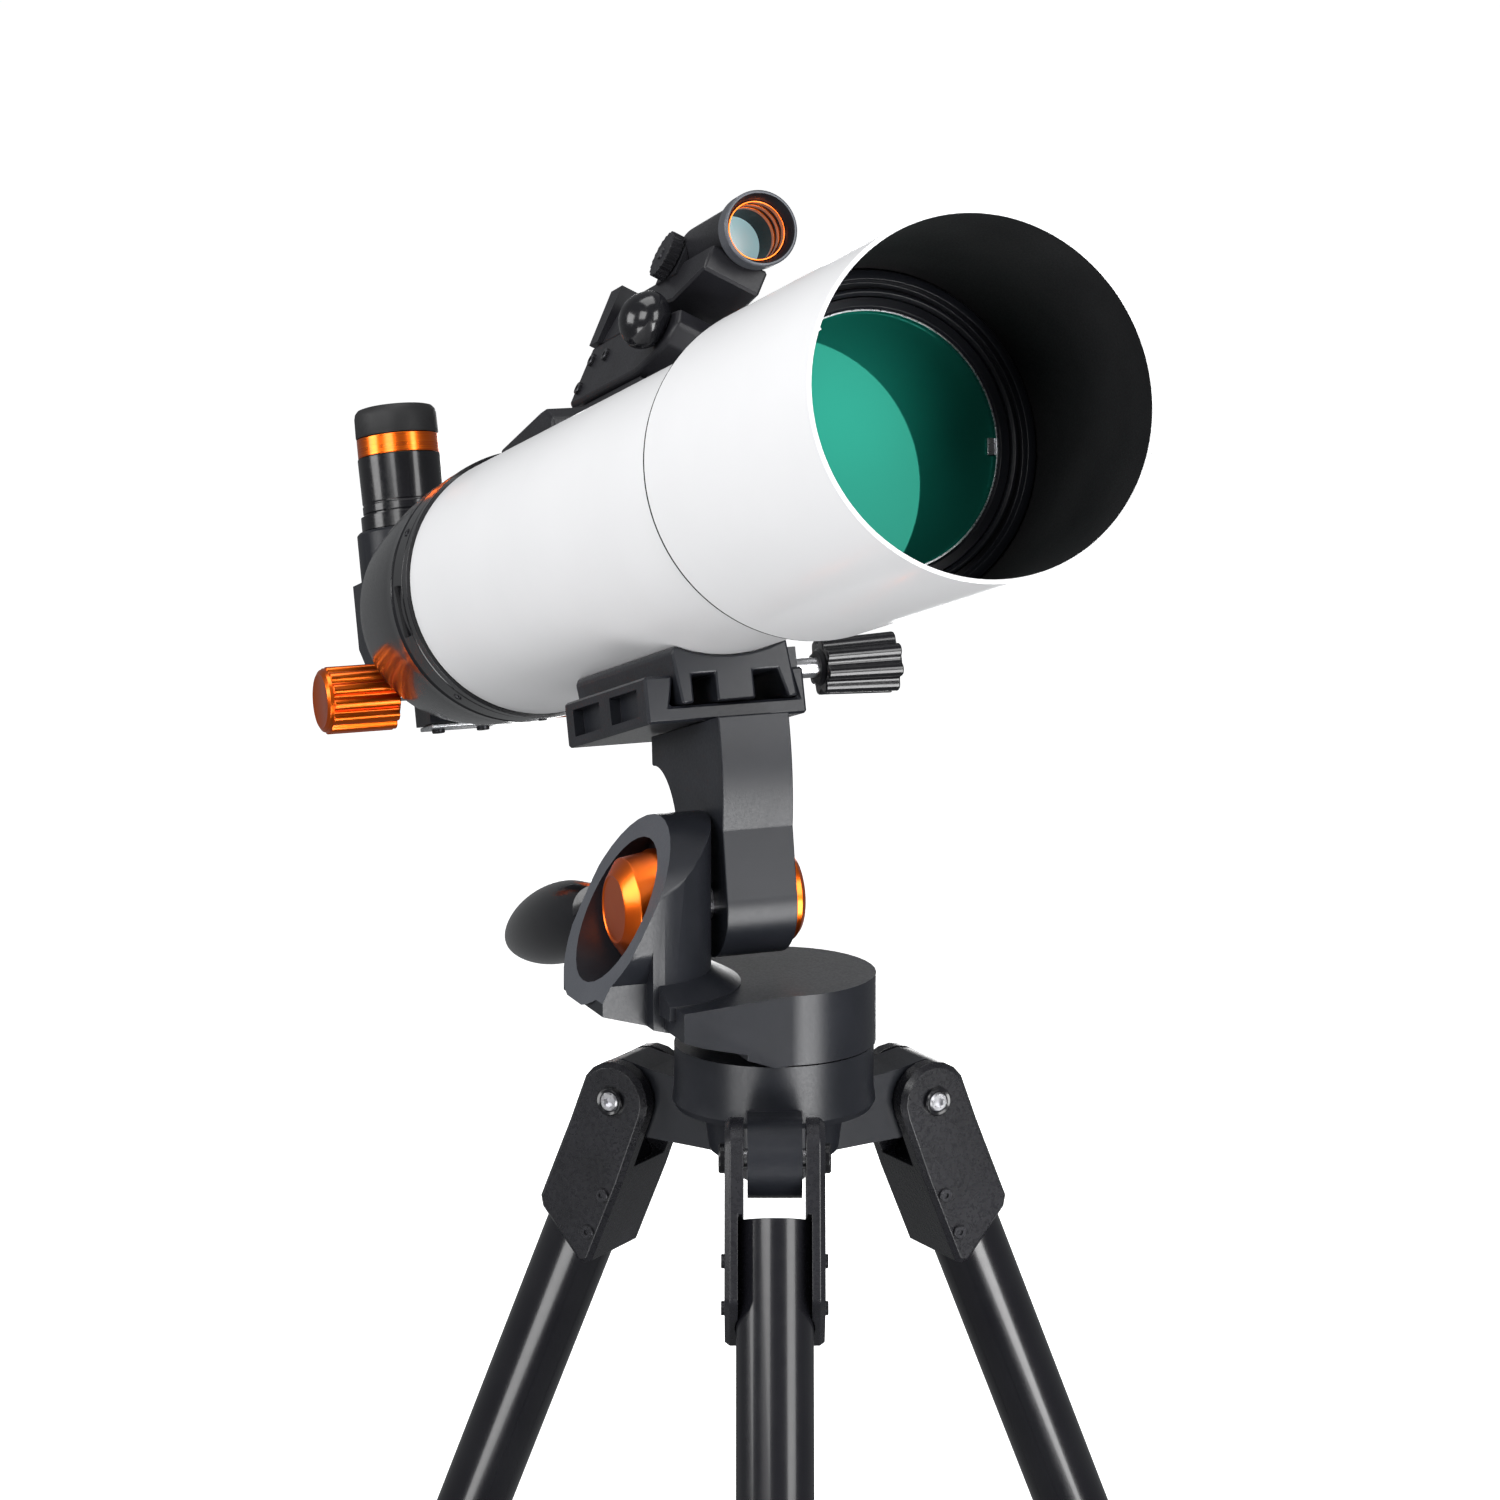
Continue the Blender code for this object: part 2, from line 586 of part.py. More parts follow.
def build_rear_cell(tube):
    spigot = TUBE_R - TUBE_WALL - GAP
    outer = [(spigot, 8), (spigot, -GAP), (46.3, -GAP), (46.3, -17), (45.2, -18), (45.8, -20), (45, -36)]
    outer += [(43.6, -54), (42.2, -68), (41, -78), (38, -86), (31, -91), (28.6, CELL_REAR)]
    inner = [(28.6, -86), (36, -78), (40, -60), (42, -40), (42, 8)]
    cell = turned("rear_cell", outer + inner, GLOSS_BLACK, tube, axis="X", sides=36)
    slot = extruded("cutter_cell_slot", rectangle(-11.5, -6.5, -14, 14), 44.6, 60, None, tube,
                    turn=(97, 0, 0))
    cut(cell, slot)
    turned("tube_baffle", ring(30, TUBE_R - TUBE_WALL - GAP, 120, 122.5), BLACK, tube, axis="X", sides=32)


def build_focuser(tube):
    """The drawtube's housing, the block under it for the pinion, and the plate that closes it."""
    front, step = CELL_REAR + 21, CELL_REAR - 1.5
    rack_low = PINION_Z + PINION_R + 0.2
    bore = DRAWTUBE_R + RUNNING
    outer = [(28.2, front), (28.2, step), (26.4, step - 2), (26.4, FOCUSER_REAR + 1),
             (25.4, FOCUSER_REAR)]
    body = turned("focuser_body", outer + [(bore, FOCUSER_REAR), (bore, front)], BLACK, tube, axis="X",
                  sides=36)
    block_rear, block_front = FOCUSER_REAR + 3, step - 0.4
    block = extruded("cutter_pinion_block", rectangle(-14, 14, BLOCK_LOW, -14), block_rear, block_front,
                     None, tube, axis="X")
    clear = turned("cutter_pinion_block_bore", rod(22, -130, 0), None, tube, axis="X", sides=36)
    cut(block, clear)
    join(body, block)
    slot = extruded("cutter_rack_slot", rectangle(-3.6, 3.6, rack_low - 0.8, -10), -130, 0, None, tube,
                    axis="X")
    cut(body, slot)
    well = turned("cutter_pinion_well", rod(PINION_R + 1.0, -5, 5), None, tube, (PINION_X, 0, PINION_Z),
                  axis="Y", sides=16)
    cut(body, well)
    hole = turned("cutter_shaft_hole", rod(SHAFT_R + RUNNING, -40, 40), None, tube,
                  (PINION_X, 0, PINION_Z), axis="Y", sides=24)
    cut(body, hole)
    extruded("pinion_cover", rectangle(-13, 13, BLOCK_LOW - 1.8, BLOCK_LOW - GAP), block_rear + 1,
             block_front - 1,
             ALLOY, tube, axis="X")
    drawtube = turned("drawtube", ring(16.2, DRAWTUBE_R, DRAWTUBE_REAR, -10), BLACK, tube, axis="X",
                      sides=36)
    rack = extruded("cutter_rack", rectangle(-3, 3, rack_low, -15), DRAWTUBE_REAR + 4, -26, None, tube,
                    axis="X")
    rack_bore = turned("cutter_rack_bore", rod(17.2, -130, 0), None, tube, axis="X", sides=36)
    cut(rack, rack_bore)
    join(drawtube, rack)


def build_pinion(tube):
    place = (PINION_X, 0, PINION_Z)
    profile = [(0, -KNOB_START - 10), (SHAFT_R, -KNOB_START - 10), (SHAFT_R, -4.2), (PINION_R, -4.2),
               (PINION_R, 4.2), (SHAFT_R, 4.2), (SHAFT_R, KNOB_START + 10), (0, KNOB_START + 10)]
    turned("pinion_shaft", profile, STEEL, tube, place, axis="Y", sides=24)
    for side, name in ((-1, "focus_knob_left"), (1, "focus_knob_right")):
        low, high = sorted((side * KNOB_START, side * (KNOB_START + KNOB_LENGTH)))
        knob = extruded(name, fluted(12.6, 1.3, 12, 4), low, high, ORANGE, tube, place, axis="Y",
                        bevel=0.8)
        bore_low, bore_high = sorted((side * (KNOB_START - 4), side * (KNOB_START + 10.4)))
        hole = turned(f"cutter_{name}", rod(SHAFT_R + 0.05, bore_low, bore_high), None, tube, place,
                      axis="Y", sides=24)
        cut(knob, hole)


def build_diagonal(tube):
    """The star diagonal: a barrel in the drawtube, a mirror box, and a holder for the eyepiece."""
    x = EYEPIECE_X
    box = extruded("diagonal_body", [(x - 18, -19), (x + 21, -19), (x + 21, 21), (x - 18, 21)], -17.5,
                   17.5, BLACK, tube, axis="side")
    barrel = turned("cutter_diagonal_barrel", rod(16.2 - RUNNING, x + 10, x + 68), None, tube, axis="X",
                    sides=24)
    join(box, barrel)
    lip = turned("cutter_diagonal_lip", rod(19, x + 15, DRAWTUBE_REAR - 0.4), None, tube, axis="X",
                 sides=24)
    join(box, lip)
    holder = turned("cutter_diagonal_holder", [(0, 10), (18.5, 10), (18.5, 38), (17.6, 39), (0, 39)],
                    None, tube, (x, 0, 0), sides=28)
    join(box, holder)
    corner = extruded("cutter_diagonal_corner", [(x - 30, -30), (x + 9, -30), (x - 30, 9)], -30, 30,
                      None, tube, axis="side")
    cut(box, corner)
    light_in = turned("cutter_light_in", rod(13.5, x - 4, x + 80), None, tube, axis="X", sides=20)
    cut(box, light_in)
    light_up = turned("cutter_light_up", [(0, -4), (13.5, -4), (13.5, 14), (15.95, 14), (15.95, 60),
                                          (0, 60)], None, tube, (x, 0, 0), sides=28)
    cut(box, light_up)
    turned("diagonal_mirror", rod(11.6, 0, 1.8), MIRROR, tube, (x - 4.0, 0, -4.0), (0, 45, 0), sides=20)


def build_eyepiece(tube):
    x = EYEPIECE_X
    place = (x, 0, 0)
    barrel = [(11.8, 18), (15.87, 18), (15.87, 39.4), (16.4, 39.4), (16.4, 44.6), (15.2, 45.4),
              (15.2, 66.5), (12.8, 66.5), (12.8, 60), (11.8, 60)]
    turned("eyepiece_barrel", barrel, GLOSS_BLACK, tube, place, sides=28)
    turned("eyepiece_band", ring(12.8, 15.3, 66.5 + GAP, 74), ORANGE, tube, place, sides=28)
    cup = [(12.8, 74 + GAP), (15.5, 74 + GAP), (15.5, 83.5), (14.5, 85.2), (12, 85.2), (10.8, 80),
           (12.8, 78)]
    turned("eyecup", cup, RUBBER, tube, place, sides=28)
    turned("eye_lens", dish(12.4, 69, 72, -1.0, 1.2), GLASS, tube, place, sides=20)


def build_top_rail(tube):
    """A low wedge on top of the tube that rises towards the front."""
    side = [(1, 40), (1, 46.6), (46, 52), (52, 52.3), (58, 48.5), (58, 40)]
    rail = extruded("top_rail", side, -8.5, 8.5, BLACK, tube, axis="side", bevel=0.8)
    bed = turned("cutter_rail_bed", rod(TUBE_R + GAP, -10, 70), None, tube, axis="X", sides=104)
    cut(rail, bed)


def build_finder(tube):
    """A red-dot sight on the tube's upper right: shoe, base, arm with its two screws, and a short tube."""
    side_frame = frame("finder_frame", tube, turn=(-FINDER_SIDE_DEG, 0, 0))
    base = TUBE_R + GAP
    wing = arc((0, 0), base, 90 + SHOE_HALF_DEG, 90 - SHOE_HALF_DEG, 4)
    shoe = wing + [(11, 56), (7.5, 56), (9.5, SHOE_TOP), (-9.5, SHOE_TOP), (-7.5, 56), (-11, 56)]
    extruded("finder_shoe", shoe, 0, 62, BLACK, side_frame, axis="X")
    base_low, base_high = SHOE_TOP + GAP, 88.0
    side = [(-10, base_low), (60, base_low), (84, 71), (88, 78), (83, 84), (62, 85), (30, base_high),
            (-10, base_high)]
    extruded("finder_base", side, -11.5, 11.5, BLACK, side_frame, axis="side", bevel=1.2)
    bar_low = base_high + GAP
    side = [(-5, bar_low), (26, bar_low), (38, 94), (66, 91), (80, 95), (90, 98), (90, 107), (62, 107),
            (60, 104), (4, 104)]
    body = extruded("finder_body", side, -10.5, 10.5, BLACK, side_frame, axis="side", bevel=0.8)
    clamp = extruded("cutter_finder_clamp", [(-12, bar_low), (-3, bar_low), (-1, 110), (-13, 110)],
                     -12.5, -3.5,
                     None, side_frame, axis="side")
    join(body, clamp)
    housing = extruded("cutter_wheel_housing", rectangle(40, 60, 102, 112), -11.4, -3, None, side_frame,
                       axis="side")
    join(body, housing)
    axis_place = (0, 0, FINDER_AXIS_Z)
    cradle = turned("cutter_finder_seat", rod(11.4 + GAP, 44, 120), None, side_frame, axis_place,
                    axis="X", sides=24)
    cut(body, cradle)
    wall = [(10, 50), (11.4, 50), (11.4, 92), (FINDER_R, 94), (FINDER_R, 100), (11.8, 100), (11.2, 96),
            (10, 94)]
    turned("finder_tube", wall, BLACK, side_frame, axis_place, axis="X", sides=24)
    turned("finder_lens", dish(9.7, FINDER_LENS_X, FINDER_LENS_X + 2, 0.6, 0.8), GLASS, side_frame, axis_place, axis="X", sides=20)
    wheel = [(0, -16.6), (8, -16.6), (8.6, -15.6), (8.6, -11.4 - GAP), (0, -11.4 - GAP)]
    turned("finder_wheel", wheel, BLACK, side_frame, (50, 0, 109.5), axis="Y", sides=18)
    knob = [(0, -27), (5, -26), (9, -22.5), (10.2, -17.5), (9, -13), (7, -11.5 - GAP), (0, -11.5 - GAP)]
    turned("finder_knob", knob, BLACK, side_frame, (74, 0, 78), axis="Y", sides=18)


def build():
    clear_scene()
    stand = frame("stand", None, (STAND_X, STAND_Y, head_height()))
    heading = frame("heading", stand, turn=(0, 0, HEADING_DEG))
    altitude = frame("altitude", heading, (ALTITUDE_X, 0, ALTITUDE_Z), (0, -ALTITUDE_DEG, 0))
    tube = tube_frame(altitude, "tube")
    build_tripod_head(stand)
    build_azimuth_bolt(stand)
    for leg in range(LEG_COUNT):
        hinge = leg_frame(stand, leg)
        build_hinge_bolt(hinge, leg + 1)
        build_leg_bracket(hinge, leg + 1)
        build_leg_tubes(hinge, leg + 1)
        build_leg_collar(hinge, leg + 1)
        build_foot(stand, hinge, leg)
    build_azimuth_body(heading)
    build_altitude_axle(heading)
    build_altitude_arm(altitude)
    build_handle(altitude)
    build_saddle(altitude)
    build_clamp(altitude)
    build_tube_foot(tube)
    build_tube(tube)
    build_objective(tube)
    build_rear_cell(tube)
    build_focuser(tube)
    build_pinion(tube)
    build_diagonal(tube)
    build_eyepiece(tube)
    build_top_rail(tube)
    build_finder(tube)
    bpy.context.view_layer.update()


build()
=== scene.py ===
"""The looks of a short refractor telescope on an alt-azimuth head and tripod.

Lengths are millimetres, turned into metres by MM when a mesh is made; lights and the camera are in metres.
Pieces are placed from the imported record's joints and from the CAD nodes' own boxes.  The local frames are:
  TUBE      on the optical axis: +X towards the sky, +Y to the telescope's right, x = 0 at the tube's rear
  FINDER    the tube frame turned about its axis, so that +Z goes through the finder
  ALTITUDE  on the altitude axis: +X along the telescope, +Y along the axis
  HUB       on the altitude axis, but level: +X ahead, +Y along the axis, +Z up
  LEGS      at each leg's hinge: +Z up along the leg, +Y along the hinge bolt
  HANDLE    +Z along the pan handle, away from the arm
"""
import json
import math

import bmesh
import bpy
from mathutils import Matrix, Vector


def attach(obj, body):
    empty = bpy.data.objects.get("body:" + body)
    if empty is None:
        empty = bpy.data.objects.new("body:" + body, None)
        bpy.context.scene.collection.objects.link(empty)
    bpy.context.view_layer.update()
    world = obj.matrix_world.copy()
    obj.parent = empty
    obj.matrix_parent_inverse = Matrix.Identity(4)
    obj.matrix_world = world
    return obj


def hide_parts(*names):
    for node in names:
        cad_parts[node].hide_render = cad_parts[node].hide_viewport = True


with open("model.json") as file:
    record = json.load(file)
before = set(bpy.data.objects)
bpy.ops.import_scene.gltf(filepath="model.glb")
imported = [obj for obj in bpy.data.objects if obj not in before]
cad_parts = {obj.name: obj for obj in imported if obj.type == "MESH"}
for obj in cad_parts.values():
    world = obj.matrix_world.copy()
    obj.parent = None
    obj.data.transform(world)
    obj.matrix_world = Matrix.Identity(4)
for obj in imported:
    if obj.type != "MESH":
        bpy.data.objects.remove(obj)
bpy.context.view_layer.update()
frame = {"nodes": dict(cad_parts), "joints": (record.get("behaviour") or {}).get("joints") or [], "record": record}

MM = 0.001
ROUND = 96
FINE_ROUND = 128
TUBE_WALL = 1.2
EYEPIECE_BACK = 17.0

# The window that the lens reflects, in metres and watts.
WINDOW_DISTANCE = 1.6
WINDOW_SHIFT = 0.22
WINDOW_WIDTH = 0.8
WINDOW_HEIGHT = 1.1
WINDOW_POWER = 20.0
# The other soft lights: name, offset from the tube's middle, size and power.
SOFT_LIGHTS = (
    ("key", (-1.1, -1.9, 1.4), 1.3, 38),
    ("left", (-1.9, -0.3, 0.5), 0.9, 18),
    ("top", (-0.1, 0.2, 1.9), 1.3, 20),
    ("bounce", (0.9, -1.3, -0.7), 1.0, 42),
    ("bounce_left", (-0.8, -1.2, -0.8), 0.9, 20),
    ("back", (0.2, 2.2, -0.35), 0.8, 9),
)
FLOOR_HALF = 60.0
FLOOR_GLOW = (0.30, 0.85)
FLOOR_GLOW_FROM = (0.6, 1.2)
WORLD_STRENGTH = 0.20

CAMERA_PLACE = Vector((-0.0074, -1.3705, 0.9599))
CAMERA_PITCH = math.radians(11.5)
LENS_MM = 108.43
SENSOR_MM = 36.0

STEEL_WORDS = ("bolt", "axle", "rod")
JOINTS = {joint["name"]: joint for joint in frame["joints"]}
BODY_OF = {node: body for body, nodes in frame["record"]["behaviour"]["bodies"].items() for node in nodes}


# ---------------------------------------------------------------- local frames


def joint_place(name):
    return Vector(JOINTS[name]["pos_m"])


def joint_axis(name):
    return Vector(JOINTS[name]["axis"]).normalized()


def axes_at(x_axis, y_axis, z_axis, place):
    made = Matrix((x_axis, y_axis, z_axis)).transposed().to_4x4()
    made.translation = place
    return made


DIAGONAL_TO_TUBE_END = 130.0
FINDER_TURN = math.radians(-29.0)
ALONG = joint_axis("diagonal_turn")
RIGHT = -joint_axis("altitude_tilt")
TUBE_UP = ALONG.cross(RIGHT)
LEVEL = Vector((ALONG.x, ALONG.y, 0)).normalized()
UP = Vector((0, 0, 1))
TUBE = axes_at(ALONG, RIGHT, TUBE_UP, joint_place("diagonal_turn") + ALONG * DIAGONAL_TO_TUBE_END * MM)
FINDER = TUBE @ Matrix.Rotation(FINDER_TURN, 4, "X")
ALTITUDE = axes_at(ALONG, RIGHT, TUBE_UP, joint_place("altitude_tilt"))
HUB = axes_at(LEVEL, RIGHT, UP, joint_place("altitude_tilt"))


def leg_axes(number):
    leg_up = -joint_axis(f"leg_{number}_extend")
    bolt = joint_axis(f"leg_{number}_fold")
    return axes_at(bolt.cross(leg_up), bolt, leg_up, joint_place(f"leg_{number}_fold"))


LEGS = {number: leg_axes(number) for number in (1, 2, 3)}
HANDLE_UP = joint_axis("handle_twist")
HANDLE = axes_at(RIGHT.cross(HANDLE_UP), RIGHT, HANDLE_UP, joint_place("handle_twist"))


def measure(node, place, axis=0):
    """(low, high, outer radius) in millimetres of a CAD node along and about one local axis."""
    inverse = place.inverted()
    points = [inverse @ vertex.co / MM for vertex in frame["nodes"][node].data.vertices]
    across = [index for index in range(3) if index != axis]
    heights = [point[axis] for point in points]
    radius = max(math.hypot(point[across[0]], point[across[1]]) for point in points)
    return min(heights), max(heights), radius


def local_box(node, place):
    """Lowest and highest corner in millimetres of a CAD node in a local frame."""
    inverse = place.inverted()
    points = [inverse @ vertex.co / MM for vertex in frame["nodes"][node].data.vertices]
    low = Vector([min(point[index] for point in points) for index in range(3)])
    high = Vector([max(point[index] for point in points) for index in range(3)])
    return low, high


# ---------------------------------------------------------------- materials


def link_noise(tree, vector, scale, detail=3.0):
    made = tree.nodes.new("ShaderNodeTexNoise")
    made.inputs["Scale"].default_value = scale
    made.inputs["Detail"].default_value = detail
    tree.links.new(vector, made.inputs["Vector"])
    return made.outputs["Fac"]


def link_range(tree, value, low, high, from_low=0.3, from_high=0.7):
    made = tree.nodes.new("ShaderNodeMapRange")
    made.inputs["From Min"].default_value = from_low
    made.inputs["From Max"].default_value = from_high
    made.inputs["To Min"].default_value = low
    made.inputs["To Max"].default_value = high
    tree.links.new(value, made.inputs["Value"])
    return made.outputs["Result"]


def lathe_vector(tree, vector, axis):
    """Turns a position into (height along the axis, distance from it), so noise on it makes turning marks."""
    split = tree.nodes.new("ShaderNodeSeparateXYZ")
    tree.links.new(vector, split.inputs[0])
    flat = tree.nodes.new("ShaderNodeVectorMath")
    flat.operation = "MULTIPLY"
    flat.inputs[1].default_value = [0.0 if letter == axis else 1.0 for letter in "XYZ"]
    tree.links.new(vector, flat.inputs[0])
    distance = tree.nodes.new("ShaderNodeVectorMath")
    distance.operation = "LENGTH"
    tree.links.new(flat.outputs[0], distance.inputs[0])
    joined = tree.nodes.new("ShaderNodeCombineXYZ")
    tree.links.new(split.outputs[axis], joined.inputs[0])
    tree.links.new(distance.outputs["Value"], joined.inputs[1])
    return joined.outputs[0]


def surface(name, colour, second, roughness, spread=0.06, metallic=0.0, coat=0.0, coat_roughness=0.1,
            patch=40.0, grain=900.0, bump=0.15, depth=0.05, lathe=None, level=0.5):
    """A Principled material: two colours in soft patches, uneven roughness, and a fine grain as bump."""
    made = bpy.data.materials.new(name)
    made.use_nodes = True
    tree = made.node_tree
    shader = tree.nodes["Principled BSDF"]
    shader.inputs["Metallic"].default_value = metallic
    shader.inputs["Coat Weight"].default_value = coat
    shader.inputs["Coat Roughness"].default_value = coat_roughness
    shader.inputs["Specular IOR Level"].default_value = level
    place = tree.nodes.new("ShaderNodeTexCoord").outputs["Object"]
    marks = lathe_vector(tree, place, lathe) if lathe else place
    patches = link_noise(tree, place, patch)
    mix = tree.nodes.new("ShaderNodeMix")
    mix.data_type = "RGBA"
    mix.inputs["A"].default_value = (*colour, 1.0)
    mix.inputs["B"].default_value = (*second, 1.0)
    tree.links.new(link_range(tree, patches, 0.0, 1.0), mix.inputs["Factor"])
    tree.links.new(mix.outputs["Result"], shader.inputs["Base Color"])
    uneven = link_noise(tree, marks, grain * 0.5, 4.0)
    rough = link_range(tree, uneven, roughness - spread, roughness + spread)
    tree.links.new(rough, shader.inputs["Roughness"])
    relief = tree.nodes.new("ShaderNodeBump")
    relief.inputs["Strength"].default_value = bump
    relief.inputs["Distance"].default_value = depth * MM
    tree.links.new(link_noise(tree, marks, grain, 2.0), relief.inputs["Height"])
    tree.links.new(relief.outputs["Normal"], shader.inputs["Normal"])
    return made


WHITE = surface("white_paint", (0.83, 0.83, 0.84), (0.86, 0.86, 0.87), 0.32, 0.03, coat=0.35,
                coat_roughness=0.10, patch=18, grain=1400, bump=0.04, depth=0.01)
FLOCK = surface("black_flocking", (0.006, 0.006, 0.007), (0.012, 0.012, 0.013), 0.85, 0.08,
                grain=3500, bump=0.5, depth=0.08, level=0.25)
CASTING = surface("black_casting", (0.009, 0.010, 0.013), (0.013, 0.014, 0.018), 0.34, 0.05,
                  patch=60, grain=2600, bump=0.22, depth=0.03, level=0.30)
# A lighter grey with some metal: the finder tube's own grey, and a painted highlight on the hub's face ring.
FACE_GREY_AND_SHEEN = surface("machined_grey_and_painted_sheen", (0.075, 0.080, 0.092), (0.090, 0.095, 0.108), 0.42, 0.05, metallic=0.35,
               patch=70, grain=2400, bump=0.18, depth=0.02)
PLASTIC = surface("black_plastic", (0.009, 0.009, 0.011), (0.014, 0.014, 0.017), 0.40, 0.06,
                  patch=90, grain=3200, bump=0.3, depth=0.03, level=0.30)
GLOSS = surface("gloss_black", (0.005, 0.005, 0.006), (0.008, 0.008, 0.010), 0.20, 0.05, coat=0.25,
                coat_roughness=0.06, patch=50, grain=1800, bump=0.06, depth=0.02, level=0.35)
TUBING = surface("black_tubing", (0.005, 0.005, 0.007), (0.008, 0.008, 0.010), 0.24, 0.02, coat=0.25,
                 coat_roughness=0.08, patch=30, grain=500, bump=0.01, depth=0.004, level=0.35)
MOULDING = surface("satin_moulding", (0.008, 0.008, 0.010), (0.012, 0.012, 0.015), 0.28, 0.04,
                   patch=70, grain=1600, bump=0.04, depth=0.01, level=0.40)
RUBBER = surface("black_rubber", (0.010, 0.010, 0.011), (0.016, 0.016, 0.017), 0.55, 0.08,
                 patch=120, grain=3800, bump=0.45, depth=0.05, level=0.35)
ORANGE_X = surface("orange_anodised_x", (0.86, 0.125, 0.008), (0.92, 0.160, 0.012), 0.30, 0.02, metallic=1.0,
                   coat=0.2, patch=60, grain=1800, bump=0.012, depth=0.004, lathe="X")
ORANGE_Y = surface("orange_anodised_y", (0.86, 0.125, 0.008), (0.92, 0.160, 0.012), 0.30, 0.02, metallic=1.0,
                   coat=0.2, patch=60, grain=1800, bump=0.012, depth=0.004, lathe="Y")
ORANGE_Z = surface("orange_anodised_z", (0.88, 0.135, 0.008), (0.94, 0.175, 0.012), 0.27, 0.02, metallic=1.0,
                   coat=0.3, patch=60, grain=1800, bump=0.012, depth=0.004, lathe="Z")
STEEL = surface("turned_steel", (0.50, 0.50, 0.52), (0.58, 0.58, 0.60), 0.30, 0.05, metallic=1.0,
                patch=80, grain=2400, bump=0.04, depth=0.006)
ALLOY = surface("bright_alloy", (0.66, 0.67, 0.69), (0.72, 0.73, 0.75), 0.30, 0.06, metallic=1.0,
                patch=80, grain=3000, bump=0.12, depth=0.012)
SCREW = surface("blackened_screw", (0.030, 0.030, 0.034), (0.045, 0.045, 0.05), 0.30, 0.06, metallic=0.7,
                patch=200, grain=4000, bump=0.12, depth=0.012)


def coated_glass_painted_reflection(name, dark, bright, roughness, tint, ring_size, glow=0.0):
    """Coated glass, drawn opaque, its colour a painted reflection: bright at its centre and dark by ring_size,
    under a tinted shiny skin.
    """
    made = bpy.data.materials.new(name)
    made.use_nodes = True
    tree = made.node_tree
    shader = tree.nodes["Principled BSDF"]
    shader.inputs["Roughness"].default_value = roughness
    shader.inputs["IOR"].default_value = 1.5
    shader.inputs["Specular Tint"].default_value = (*tint, 1.0)
    place = tree.nodes.new("ShaderNodeTexCoord").outputs["Object"]
    rings = lathe_vector(tree, place, "X")
    split = tree.nodes.new("ShaderNodeSeparateXYZ")
    tree.links.new(rings, split.inputs[0])
    ramp = tree.nodes.new("ShaderNodeValToRGB")
    ramp.color_ramp.elements[0].position = 0.0
    ramp.color_ramp.elements[0].color = (*bright, 1.0)
    ramp.color_ramp.elements[1].position = 1.0
    ramp.color_ramp.elements[1].color = (*dark, 1.0)
    ramp.color_ramp.interpolation = "EASE"
    tree.links.new(link_range(tree, split.outputs["Y"], 0.0, 1.0, 0.0, ring_size * MM), ramp.inputs["Fac"])
    tree.links.new(ramp.outputs["Color"], shader.inputs["Base Color"])
    # Painted light: with glow, the painted reflection's colour also glows.
    if glow:
        tree.links.new(ramp.outputs["Color"], shader.inputs["Emission Color"])
        shader.inputs["Emission Strength"].default_value = glow
    return made


# Painted reflections: each lens's colour is bright at the centre and darker at the rim; the pale finder glass also
# glows as painted light.
LENS_GREEN = coated_glass_painted_reflection("coated_lens", (0.006, 0.11, 0.080), (0.012, 0.24, 0.175), 0.02,
                          (0.10, 1.0, 0.72), 40.0)
EYE_GLASS = coated_glass_painted_reflection("eye_glass", (0.002, 0.010, 0.014), (0.006, 0.03, 0.04), 0.02,
                         (0.4, 0.6, 1.0), 12.0)
PALE_GLASS_PAINTED_GLOW = coated_glass_painted_reflection("pale_glass", (0.42, 0.66, 0.70), (0.62, 0.86, 0.90), 0.06,
                          (0.7, 1.0, 1.0), 9.0, glow=0.55)


# ---------------------------------------------------------------- mesh tools

TURNS = {
    "X": Matrix(((0, 0, 1), (1, 0, 0), (0, 1, 0))),
    "Y": Matrix(((0, 1, 0), (0, 0, 1), (1, 0, 0))),
    "Z": Matrix.Identity(3),
    "side": Matrix(((1, 0, 0), (0, 0, 1), (0, 1, 0))),
}


def place_piece(name, bm, looks, place, body, replaced=(), smooth=30.0, bevel=0.0, segments=2,
                weighted=False):
    """Makes the object, shades it, rounds its sharp edges, hangs it under its body's empty and hides the CAD parts
    it replaces.
    """
    bmesh.ops.remove_doubles(bm, verts=bm.verts, dist=1e-6)
    bmesh.ops.recalc_face_normals(bm, faces=bm.faces)
    mesh = bpy.data.meshes.new(name)
    bm.to_mesh(mesh)
    bm.free()
    for look in looks:
        mesh.materials.append(look)
    made = bpy.data.objects.new(name, mesh)
    bpy.context.scene.collection.objects.link(made)
    made.matrix_world = place
    mesh.shade_smooth()
    mesh.set_sharp_from_angle(angle=math.radians(smooth))
    if bevel:
        edge = made.modifiers.new("soft_edges", "BEVEL")
        edge.width = bevel * MM
        edge.segments = segments
        edge.limit_method = "ANGLE"
        edge.angle_limit = math.radians(smooth)
        edge.harden_normals = True
    if weighted:
        weights = made.modifiers.new("flat_faces_first", "WEIGHTED_NORMAL")
        weights.keep_sharp = True
    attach(made, body)
    if replaced:
        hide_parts(*replaced)
    return made


